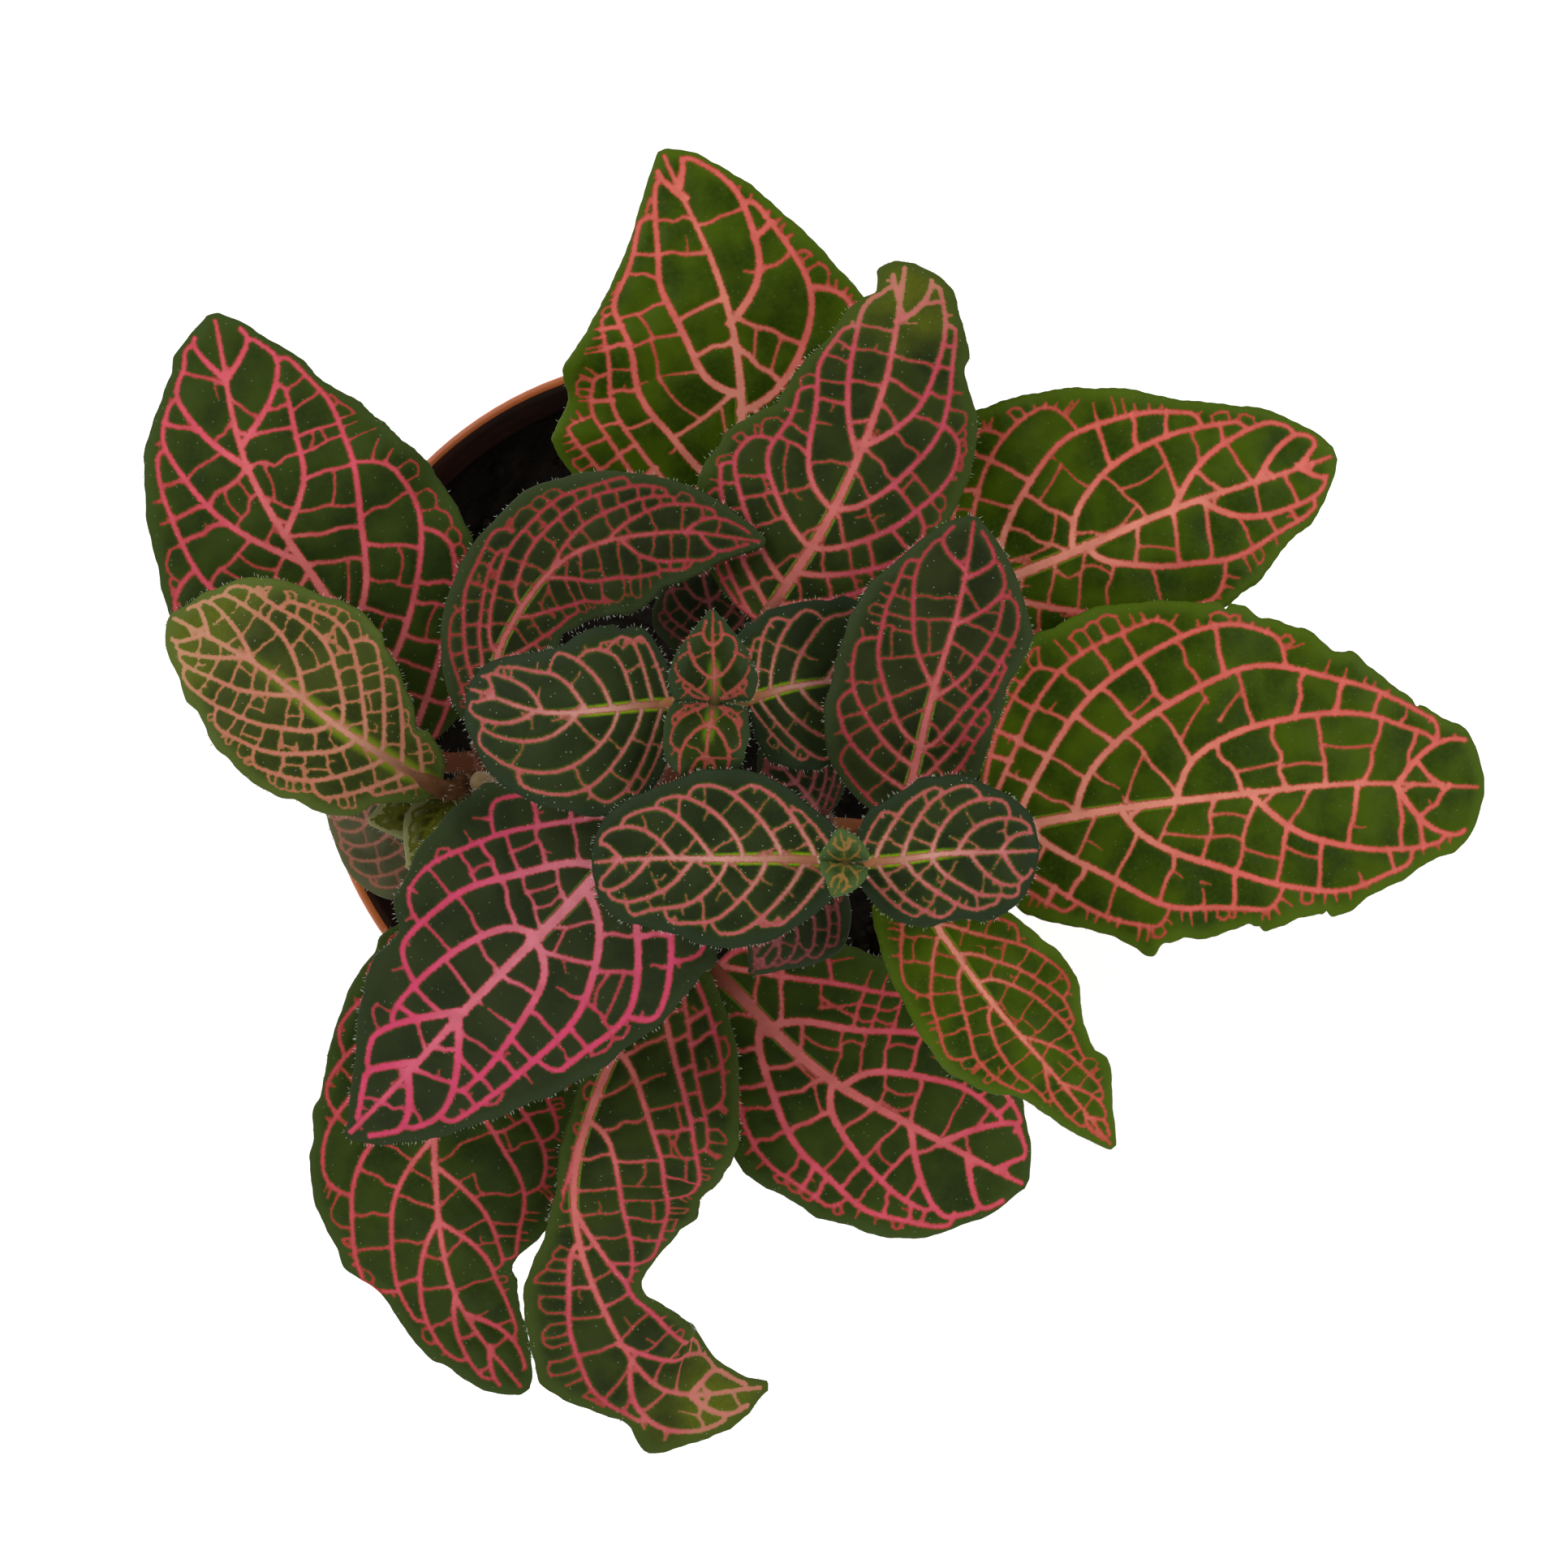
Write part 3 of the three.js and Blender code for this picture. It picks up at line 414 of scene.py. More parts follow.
        veins_right=((-0.045, 0.5), (0.091, 0.5), (0.245, 0.8), (0.391, 1), (0.6, 0.36, 0.55),
            (0.791, 0.25, 0.55)),
        edge_left=((0, 3.2), (0.05, 4.9), (0.09, 6.1), (0.136, 6.2), (0.182, 6.6), (0.273, 7.6), (0.318, 8.2),
            (0.364, 8.7), (0.545, 8.8), (0.636, 8.3), (0.727, 7.3), (0.818, 6.2), (0.864, 5.7), (0.909, 5.1),
            (0.955, 4.1), (0.982, 2.7), (1, 0.8)),
        edge_right=((0, 3), (0.05, 4.5), (0.09, 5.6), (0.136, 6.3), (0.182, 7), (0.273, 7.6), (0.364, 7.8),
            (0.455, 7.3), (0.545, 7.3), (0.636, 7.7), (0.727, 7.6), (0.818, 6.8), (0.864, 6.1), (0.909, 5.1),
            (0.936, 4.4), (0.973, 2.9), (1, 0.8)),
        rungs=0.9, whole=0.6, fringe=0.8, loops=0.6, margin=1.7,
    ),
    LeafPlan(
        "leaf_right_north", "stem_right", node=120, stalk=1, pairs=7, tone=Tone.DUSK,
        rib=((25.4, -11.5, 128.6), (28.3, -0.1, 132), (31.5, 11.1, 133.4), (33.7, 22.7, 132)),
        left=(10, 11.5, 11.5, 9.5, 5.5), right=(7, 7.5, 8, 8.5, 6), fold=-0.12, wave=0.5,
        veins_left=((-0.04, 0.33), (0.1, 0.37), (0.18, 0.6), (0.25, 1.1), (0.43, 0.5, 0.47),
            (0.83, 0.2, 0.5)),
        veins_right=((0.05, 0.9), (0.13, 1.3), (0.24, 1.5), (0.4, 0.78, 0.68), (0.65, 0.55, 0.7),
            (0.8, 0.35, 0.7)),
        edge_left=((0.3, 11.4), (0.5, 11.6), (0.6, 11.4), (0.7, 10.5), (0.75, 9.6), (0.8, 8.3), (0.85, 6.8),
            (0.9, 5.4), (0.94, 4), (0.97, 2.9), (0.99, 1.5), (1, 0.4)),
        edge_right=((0.5, 7.6), (0.55, 8), (0.6, 8.4), (0.65, 8.9), (0.68, 8.9), (0.75, 7.4), (0.8, 6.6),
            (0.85, 5.4), (0.9, 4.1), (0.95, 2.6), (1, 0.4)),
        fringe=0.7, loops=0.2, margin=1.6,
    ),
    LeafPlan(
        "leaf_right_southeast", "stem_right", node=120, stalk=1, pairs=7, tone=Tone.OLIVE,
        rib=((25.9, -18.7, 125), (34.9, -30.8, 124), (42.7, -40.3, 119), (50.6, -49.7, 111)),
        left=(6.5, 10, 9, 6, 3.6), right=(7, 8.5, 8.5, 5, 3), fold=0.05, wave=0.9,
        veins_left=((0.016, 0.7), (0.128, 0.95), (0.222, 1.4), (0.311, 1.7), (0.522, 0.6, 0.42),
            (0.719, 0.5, 0.5), (0.869, 0.25, 0.6)),
        veins_right=((0.016, 0.55), (0.156, 0.8), (0.25, 1.7), (0.386, 2.5), (0.644, 0.45, 0.4),
            (0.85, 0.25, 0.5)),
        edge_left=((0, 3), (0.06, 4.4), (0.12, 5.6), (0.2, 7.4), (0.297, 8.6), (0.391, 9.4), (0.484, 9.3),
            (0.531, 8.4), (0.578, 7.3), (0.625, 6.5), (0.672, 5.7), (0.719, 5.4), (0.738, 5.8), (0.756, 6.1),
            (0.775, 5.9), (0.813, 5), (0.888, 3.1), (0.963, 1.3), (1, 0.4)),
        edge_right=((0, 4.4), (0.05, 5.7), (0.1, 6.7), (0.2, 7.9), (0.269, 8.3), (0.344, 8.9), (0.438, 9.1),
            (0.484, 8.8), (0.531, 8.1), (0.578, 7.3), (0.625, 6.2), (0.653, 5.1), (0.691, 4.3), (0.719, 3.9),
            (0.813, 3.2), (0.906, 2), (0.953, 1.3), (1, 0.5)),
        thick=0.92, fringe=0.9,
    ),
    LeafPlan(
        "leaf_right_far_east", "stem_right", node=105, stalk=1.3, pairs=8, tone=Tone.OLIVE,
        rib=((35.9, -13.5, 111.4), (55.4, -9.5, 112), (75.1, -7.8, 108), (95, -7.6, 101.5)),
        left=(21, 24, 23, 18, 11.5), right=(14, 17, 15.5, 15.5, 10), fold=-0.05, wave=0.9,
        veins_left=((-0.196, 0.56), (-0.059, 0.68), (0.056, 0.84), (0.176, 1.27), (0.377, 1.72),
            (0.82, 0.2, 0.55)),
        veins_right=((-0.16, 0.6), (-0.053, 0.76), (0.085, 1), (0.265, 1.27), (0.52, 0.42, 0.47),
            (0.82, 0.24, 0.55)),
        edge_left=((0.2, 22), (0.3, 23.6), (0.4, 23), (0.5, 22.2), (0.55, 21.4), (0.56, 20.4), (0.6, 19.9),
            (0.635, 18.6), (0.66, 18.5), (0.7, 15.9), (0.74, 15.8), (0.76, 14.3), (0.8, 12.5), (0.85, 10.4),
            (0.9, 8.3), (0.94, 7.4), (0.96, 7.1), (0.975, 5.8), (0.99, 3.6), (1, 0.4)),
        edge_right=((0.05, 10), (0.1, 11.6), (0.15, 13.1), (0.2, 14.3), (0.24, 16.1), (0.26, 17.6),
            (0.28, 17.8), (0.3, 16.4), (0.36, 16), (0.4, 16.8), (0.45, 15.9), (0.5, 15.3), (0.535, 16.5),
            (0.56, 16), (0.6, 15.1), (0.65, 14.9), (0.68, 15.1), (0.72, 14.6), (0.75, 13.4), (0.8, 11.9),
            (0.84, 10.7), (0.88, 9.2), (0.94, 7.7), (0.97, 6), (0.99, 3.4), (1, 0.5)),
        fringe=1.3, loops=0.2, ragged=0.4,
    ),
    LeafPlan(
        "leaf_right_deep", "stem_right", node=112, stalk=0.8, pairs=4, tone=Tone.SHADE,
        rib=((17.8, -17.6, 117), (13.2, -23.4, 117.6), (8.4, -29.4, 115)),
        left=(4.5, 6, 6, 4.6, 2.4), right=(4.5, 6, 6, 4.6, 2.4), fold=0, wave=0.3,
    ),
    LeafPlan(
        "leaf_right_northwest", "stem_right", node=112, stalk=0.8, pairs=4, tone=Tone.SHADE,
        rib=((16.8, -11.2, 116), (13.6, -7.2, 117.4), (9.6, -2.4, 116)),
        left=(4.5, 6, 6, 4.6, 2.4), right=(4.5, 6, 6, 4.6, 2.4), fold=0, wave=0.3,
    ),
    LeafPlan(
        "bud_left_north", "stem_left", node=99.4, stalk=0.6, pairs=3, tone=Tone.CRUMPLED,
        rib=((-26.4, -9.8, 102), (-31.6, -10.2, 103), (-36.8, -11.8, 102.4)),
        left=(3, 4, 3.8, 2.8, 1.4), right=(2.4, 3.2, 3.2, 2.4, 1.4), fold=-0.1, wave=0.4,
        edge_left=((0, 3.4), (0.1, 5.2), (0.25, 6.2), (0.4, 5.6), (0.55, 4.4), (0.7, 3.4), (0.85, 2),
            (1, 0.4)),
    ),
    LeafPlan(
        "bud_left_south", "stem_left", node=101.2, stalk=0.6, pairs=3, tone=Tone.CRUMPLED,
        rib=((-26.4, -9, 103.2), (-29.4, -12.8, 105), (-32, -17.4, 104.6)),
        left=(2.8, 3.8, 3.8, 3, 1.6), right=(2.4, 3.4, 3.4, 2.6, 1.4), fold=-0.15, wave=0.4,
    ),
    LeafPlan(
        "leaf_left_west", "stem_left", node=103.6, stalk=1.2, pairs=6, tone=Tone.AMBER,
        rib=((-28.4, -7.8, 108), (-38.8, -1.6, 111), (-48.8, 6.3, 110), (-60, 12.2, 106)),
        left=(5.5, 9.5, 11, 10, 6.5), right=(6.5, 10, 12, 10, 6.5), fold=-0.06, wave=0.5,
        veins_left=((0.04, 0.35), (0.111, 0.37), (0.193, 0.62), (0.302, 0.84), (0.392, 1.27),
            (0.52, 0.5, 0.39), (0.72, 0.55, 0.36), (0.88, 0.25, 0.5)),
        veins_right=((0.06, 0.3), (0.135, 0.33), (0.207, 0.45), (0.271, 0.84), (0.361, 1.14),
            (0.5, 0.55, 0.47), (0.7, 0.5, 0.42), (0.86, 0.25, 0.5)),
        edge_left=((0.2, 7.9), (0.25, 9.1), (0.35, 9.6), (0.38, 10.6), (0.42, 11), (0.5, 11.2), (0.65, 10.7),
            (0.7, 10.1), (0.75, 9.1), (0.78, 8.2), (0.83, 7.9), (0.86, 6.9), (0.88, 6.1), (0.92, 4.9),
            (0.95, 3.9), (0.97, 3.1), (0.99, 1.7), (1, 0.5)),
        edge_right=((0.15, 4.6), (0.2, 6.8), (0.28, 8.8), (0.32, 9.8), (0.38, 10.3), (0.42, 10.9),
            (0.45, 11.8), (0.55, 12), (0.6, 11.7), (0.63, 10.9), (0.7, 10.1), (0.74, 9.9), (0.78, 9.3),
            (0.82, 8.6), (0.86, 7.3), (0.9, 5.6), (0.94, 4.3), (0.96, 2.6), (1, 0.4)),
        thick=0.95, rungs=1.25, whole=0.65, fringe=1.2, loops=0.6,
    ),
    LeafPlan(
        "leaf_left_east", "stem_left", node=103.6, stalk=1.1, pairs=8, tone=Tone.DUSK,
        rib=((-23.1, -1.2, 109), (-20, 9.9, 115.6), (-12.7, 18.8, 119.6), (-1.5, 21.4, 121.4),
            (10, 20.4, 121.6)),
        left=(6.5, 8.5, 8.5, 8, 5), right=(6, 6, 7, 8, 4.6), fold=0.02, wave=0.4,
        veins_left=((-0.1, 0.7), (-0.02, 0.9), (0.056, 1.27), (0.13, 1.9), (0.2, 2), (0.33, 2.2),
            (0.45, 1.3, 0.6), (0.61, 0.6, 0.45), (0.8, 0.3, 0.45)),
        veins_right=((0.05, 0.6), (0.19, 0.84), (0.304, 0.84), (0.42, 0.6, 0.65), (0.64, 0.33, 0.38),
            (0.84, 0.25, 0.5)),
        edge_left=((0.5, 8.9), (0.6, 8.1), (0.65, 7.7), (0.7, 7), (0.8, 5.5), (0.9, 3.3), (0.95, 2),
            (1, 0.4)),
        edge_right=((0.33, 5.7), (0.38, 6.6), (0.45, 7.6), (0.55, 8.3), (0.64, 8.7), (0.68, 8.1), (0.71, 7.3),
            (0.735, 5.9), (0.77, 5.9), (0.8, 5.6), (0.85, 4.5), (0.88, 3.3), (0.96, 1.3), (1, 0.4)),
        fringe=0.9,
    ),
    LeafPlan(
        "leaf_left_north", "stem_left", node=91, stalk=1.2, pairs=8, tone=Tone.ROSE,
        rib=((-30.8, -3, 97), (-41.2, 13.2, 101), (-50.9, 29.8, 102), (-55.7, 48.3, 99.5)),
        left=(12, 17, 17.5, 14, 9), right=(14.5, 18, 17.5, 16, 11), fold=-0.05, wave=0.9,
        veins_left=((-0.15, 0.6), (0.05, 0.9), (0.25, 1.3), (0.45, 0.9, 0.64), (0.67, 0.5, 0.56),
            (0.86, 0.35, 0.6)),
        veins_right=((-0.07, 0.56), (0.038, 0.56), (0.164, 0.68), (0.284, 1.27), (0.515, 0.25, 0.36),
            (0.72, 0.3, 0.45), (0.86, 0.25, 0.5)),
        edge_left=((0.45, 17), (0.5, 16.4), (0.55, 15.7), (0.65, 13.6), (0.75, 11.5), (0.83, 8.8), (0.9, 5.9),
            (0.935, 5.4), (0.967, 3.3), (0.99, 1.3), (1, 0.4)),
        edge_right=((0.32, 18.6), (0.47, 18.9), (0.55, 17.9), (0.64, 16.5), (0.73, 15), (0.81, 11.3),
            (0.87, 9.2), (0.92, 6.1), (0.967, 3.5), (1, 0.6)),
        thick=1.15, fringe=0.8,
    ),
    LeafPlan(
        "leaf_left_deep", "stem_left", node=84, stalk=0.8, pairs=4, tone=Tone.MUTED,
        rib=((-27, -12.6, 88.4), (-35, -12.4, 89.6), (-43, -10.6, 87.4)),
        left=(6.5, 8.4, 8.6, 7.4, 4.6), right=(5, 6, 6, 5, 3), fold=0, roll=-0.1, wave=0.3,
    ),
    LeafPlan(
        "leaf_front_south", "stem_front", node=96, stalk=1.1, pairs=8, tone=Tone.TURNED,
        rib=((-2, -27.2, 102.6), (-9.4, -43.1, 105.4), (-12.4, -56.1, 104), (-9.6, -69, 101),
            (-2.4, -79.5, 97), (10.2, -79.6, 92)),
        left=(15, 17.5, 15.5, 11.5, 6, 8, 5), right=(3, 3, 3, 7.5, 10, 8.5, 4), fold=0.02, roll=0.06,
        wave=0.8,
        veins_left=((-0.177, 0.8), (-0.055, 1), (0.039, 0.85), (0.141, 1.14), (0.257, 2.12),
            (0.426, 1.3, 0.6), (0.68, 0.5, 0.72), (0.859, 0.3, 0.6)),
        veins_right=((-0.008, 2), (0.281, 2.4), (0.482, 2.6), (0.717, 0.6, 0.6), (0.859, 0.4, 0.6)),
        edge_left=((0, 6), (0.03, 9.2), (0.06, 12), (0.1, 14.2), (0.15, 16.2), (0.2, 17.3), (0.247, 17.4),
            (0.313, 16.6), (0.388, 14.9), (0.463, 14.2), (0.482, 13.6), (0.491, 12.1), (0.52, 10.7),
            (0.548, 8.3), (0.576, 6.2), (0.595, 5.1), (0.623, 5.4), (0.642, 6.4), (0.67, 7.4), (0.717, 8.2),
            (0.774, 8.1), (0.84, 8.5), (0.868, 8.1), (0.887, 6.7), (0.906, 4.5), (0.934, 2.6), (0.962, 1.1),
            (1, 0.45)),
        edge_right=((0, 2), (0.1, 3), (0.25, 2.4), (0.388, 2.2), (0.435, 3), (0.463, 3.8), (0.491, 5.5),
            (0.529, 7.6), (0.576, 8.7), (0.623, 9.7), (0.68, 10.5), (0.699, 9.4), (0.717, 8.7), (0.746, 7),
            (0.783, 5.4), (0.798, 6), (0.812, 7.7), (0.826, 7.4), (0.84, 6.5), (0.878, 5.6), (0.925, 4.4),
            (0.962, 3), (0.981, 1.6), (1, 0.45)),
        thick=1.02, fringe=1.1,
    ),
    LeafPlan(
        "leaf_front_southeast", "stem_front", node=93, stalk=1.1, pairs=7, tone=Tone.ROSE,
        rib=((3.6, -29.5, 96.6), (16.3, -41.2, 100), (28.4, -48.8, 99), (41.2, -55.2, 94)),
        left=(13.5, 16.5, 17, 15.5, 9.5), right=(12, 15.5, 15, 13.5, 9.5), fold=-0.06, wave=0.6,
        veins_left=((-0.168, 0.5), (-0.025, 1.14), (0.187, 1.5), (0.412, 1.9), (0.729, 0.4, 0.5),
            (0.907, 0.2, 0.6)),
        veins_right=((-0.168, 0.6), (-0.01, 1.03), (0.159, 1.3), (0.383, 1.5), (0.635, 0.5, 0.7),
            (0.813, 0.35, 0.7)),
        edge_left=((0, 5), (0.03, 7), (0.06, 8.8), (0.1, 10.6), (0.15, 12.2), (0.196, 13.4), (0.271, 14.9),
            (0.346, 16.1), (0.42, 16.9), (0.495, 17.1), (0.57, 16.9), (0.645, 16.2), (0.72, 14.7),
            (0.813, 10.9), (0.869, 9.2), (0.888, 8.9), (0.907, 7.3), (0.935, 5.7), (0.963, 4.5), (0.981, 2.7),
            (1, 0.5)),
        edge_right=((0, 4.4), (0.03, 6.4), (0.06, 8), (0.1, 9.6), (0.15, 11), (0.196, 12.2), (0.271, 13.7),
            (0.346, 15.2), (0.42, 14.7), (0.533, 14.7), (0.626, 13.7), (0.72, 12.9), (0.766, 12.1),
            (0.813, 10.7), (0.86, 8.8), (0.907, 6.9), (0.935, 5.7), (0.963, 3.9), (0.981, 2), (1, 0.5)),
        thick=1.3, fringe=0.8,
    ),
    LeafPlan(
        "leaf_front_southwest", "stem_front", node=86, stalk=1.2, pairs=8, tone=Tone.ROSE,
        rib=((-23.6, -23.5, 91), (-28.3, -38.1, 95), (-29.7, -53.4, 95), (-27.3, -68.5, 91),
            (-19.2, -81, 85)),
        left=(15, 16.5, 15.5, 11, 5.5), right=(13.5, 15, 15, 12, 6), fold=-0.05, wave=0.8,
        veins_left=((-0.05, 0.5), (0.05, 0.5), (0.15, 0.6), (0.24, 0.7), (0.33, 0.95), (0.49, 0.38, 0.45),
            (0.6, 0.28, 0.38), (0.8, 0.25, 0.45)),
        veins_right=((0, 0.5), (0.1, 0.5), (0.191, 0.5), (0.263, 0.6), (0.35, 1), (0.44, 0.5, 0.45),
            (0.6, 0.5, 0.38), (0.75, 0.4, 0.45), (0.88, 0.25, 0.5)),
        edge_left=((0.45, 16.2), (0.55, 15.4), (0.62, 14.2), (0.68, 11.4), (0.71, 8.8), (0.74, 7.3),
            (0.78, 7.2), (0.85, 5.8), (0.9, 4.6), (0.95, 3), (0.985, 1.7), (1, 0.4)),
        edge_right=((0.13, 11), (0.2, 12.6), (0.25, 13), (0.38, 13.7), (0.4, 14.5), (0.455, 14.2),
            (0.47, 14.9), (0.55, 14.3), (0.6, 13.2), (0.63, 12.3), (0.66, 12), (0.68, 10.4), (0.7, 8.8),
            (0.72, 8.2), (0.75, 7.6), (0.8, 6.9), (0.84, 6.6), (0.86, 5.6), (0.9, 4.9), (0.95, 3.8),
            (0.98, 2.4), (1, 0.6)),
        fringe=1.2, loops=0.5,
    ),
)


def smooth(values: np.ndarray, t: np.ndarray) -> np.ndarray:
    """A smooth curve through evenly spaced values, carried straight past its ends.

    Args:
        values: One value or point for each even step.
        t: Shares of the whole, from 0 to 1.

    Returns:
        The curve's values at t.
    """
    values = np.asarray(values, float)
    t = np.clip(np.asarray(t, float), 0, 1)
    last = len(values) - 1
    place = t * last
    i = np.minimum(place.astype(int), last - 1)
    f = place - i
    if values.ndim == 2:
        f = f[..., None]
    ends = [2 * values[:1] - values[1:2], values, 2 * values[-1:] - values[-2:-1]]
    even = np.concatenate(ends)
    before, a, b, after = even[i], even[i + 1], even[i + 2], even[i + 3]
    slope_a, slope_b = (b - before) / 2, (after - a) / 2
    cubic = 2 * (a - b) + slope_a + slope_b
    square = 3 * (b - a) - 2 * slope_a - slope_b
    return ((cubic * f + square) * f + slope_a) * f + a


def unit(vectors: np.ndarray) -> np.ndarray:
    """The vectors, each made one long."""
    return vectors / np.maximum(np.linalg.norm(vectors, axis=-1, keepdims=True), 1e-12)


def ease(low: float, high: float, value: np.ndarray) -> np.ndarray:
    """A soft step from 0 at low to 1 at high."""
    share = np.clip((value - low) / (high - low), 0, 1)
    return share * share * (3 - 2 * share)


def even_path(path: np.ndarray, step: float) -> np.ndarray:
    """The same path with points at even steps.

    Args:
        path: Points along it.
        step: Distance wanted between points.

    Returns:
        The new points, with both ends kept.
    """
    lengths = np.linalg.norm(np.diff(path, axis=0), axis=1)
    reached = np.concatenate([[0], np.cumsum(lengths)])
    count = max(int(round(reached[-1] / step)), 1) + 1
    at = np.linspace(0, reached[-1], count)
    return np.stack([np.interp(at, reached, path[:, k]) for k in range(path.shape[1])], axis=1)


class BladeForm:
    """The curved sheet that a blade follows, from its plan's measures."""

    def __init__(self, plan: LeafPlan) -> None:
        """Keeps the plan and measures its rib.

        Args:
            plan: The leaf's plan.
        """
        self.plan = plan
        self.rib = np.array(plan.rib, float)
        fine = smooth(self.rib, np.linspace(0, 1, 200))
        self.length = float(np.linalg.norm(np.diff(fine, axis=0), axis=1).sum())
        self.widest = max(*plan.left, *plan.right)

    def reach(self, t: np.ndarray, side: int) -> np.ndarray:
        """The even half-width of the blade.

        Args:
            t: Shares of the rib.
            side: -1 for the left half, 1 for the right half.

        Returns:
            Half-widths in mm.
        """
        t = np.clip(t, 0, 1)
        plan = self.plan
        measures = np.array([0, *(plan.left if side < 0 else plan.right), 0], float)

        def drawn(power: float) -> np.ndarray:
            """Half-widths with their ends rounded by a power."""
            return np.maximum(smooth(measures**power, t), 0) ** (1 / power)

        width = drawn(BASE_ROUNDING) * (1 - t) + drawn(TIP_ROUNDING) * t
        return np.maximum(np.maximum(width, plan.stalk * (1 - t)), TIP_HALF_WIDTH)

    def reach_both(self, t: np.ndarray, offset: np.ndarray) -> np.ndarray:
        """Half-width at shares of the rib, on the side that each offset lies on."""
        return np.where(offset < 0, self.reach(t, -1), self.reach(t, 1))

    def edge(self, t: np.ndarray, side: int) -> np.ndarray:
        """The half-width of the finished edge, with the plan's finer measures.

        Args:
            t: Shares of the rib.
            side: -1 for the left half, 1 for the right half.

        Returns:
            Half-widths in mm.
        """
        pairs = self.plan.edge_left if side < 0 else self.plan.edge_right
        even = self.reach(t, side)
        if not pairs:
            return even
        shares, widths = np.array(pairs).T
        fine = sum(np.interp(t + step, shares, widths) for step in EDGE_BLUR) / len(EDGE_BLUR)
        known = ease(shares[0] - EDGE_BLEND, shares[0], t)
        return even + (fine - even) * known

    def vein_reach(self, t: np.ndarray, side: int) -> np.ndarray:
        """The half-width that the side veins follow, blunt towards the tip.

        Args:
            t: Shares of the rib.
            side: -1 for the left half, 1 for the right half.

        Returns:
            Half-widths in mm.
        """
        blunt = sum(self.edge(t + step, side) for step in TIP_BLUR) / len(TIP_BLUR)
        even = self.reach(t, side)
        return even + (blunt - even) * ease(*TIP_SPAN, t)

    def edge_both(self, t: np.ndarray, offset: np.ndarray) -> np.ndarray:
        """Finished half-width at shares of the rib, on the side that each offset lies on."""
        return np.where(offset < 0, self.edge(t, -1), self.edge(t, 1))

    def sheet(self, t: np.ndarray, offset: np.ndarray) -> np.ndarray:
        """Places on the curved sheet.

        Args:
            t: Shares of the rib.
            offset: mm to the right of the rib, below 0 on the left.

        Returns:
            Points in mm.
        """
        plan = self.plan
        centre = smooth(self.rib, t)
        forward = smooth(self.rib, t + PATH_STEP) - smooth(self.rib, t - PATH_STEP)
        forward[..., 2] = 0
        forward = unit(forward)
        crease = np.hypot(offset, CREASE_SOFTNESS) - CREASE_SOFTNESS
        phase = 2 * np.pi * t * plan.pairs * WAVES_PER_PAIR + np.where(offset < 0, SIDE_PHASE, 0)
        wave = plan.wave * (offset / self.widest) ** 2 * np.sin(phase)
        return np.stack(
            [
                centre[..., 0] + forward[..., 1] * offset,
                centre[..., 1] - forward[..., 0] * offset,
                centre[..., 2] + plan.fold * crease - plan.roll * offset + wave,
            ],
            axis=-1,
        )

    def normal(self, t: np.ndarray, offset: np.ndarray) -> np.ndarray:
        """The sheet's upward normals.

        Args:
            t: Shares of the rib.
            offset: mm to the right of the rib, below 0 on the left.

        Returns:
            Unit vectors.
        """
        across = self.sheet(t, offset + SLOPE_STEP) - self.sheet(t, offset - SLOPE_STEP)
        along = self.sheet(t + PATH_STEP, offset) - self.sheet(t - PATH_STEP, offset)
        return unit(np.cross(across, along))


@dataclass
class Vein:
    """One vein drawn flat: mm along the rib, mm to its right, and its half-widths."""

    path: np.ndarray
    radii: np.ndarray


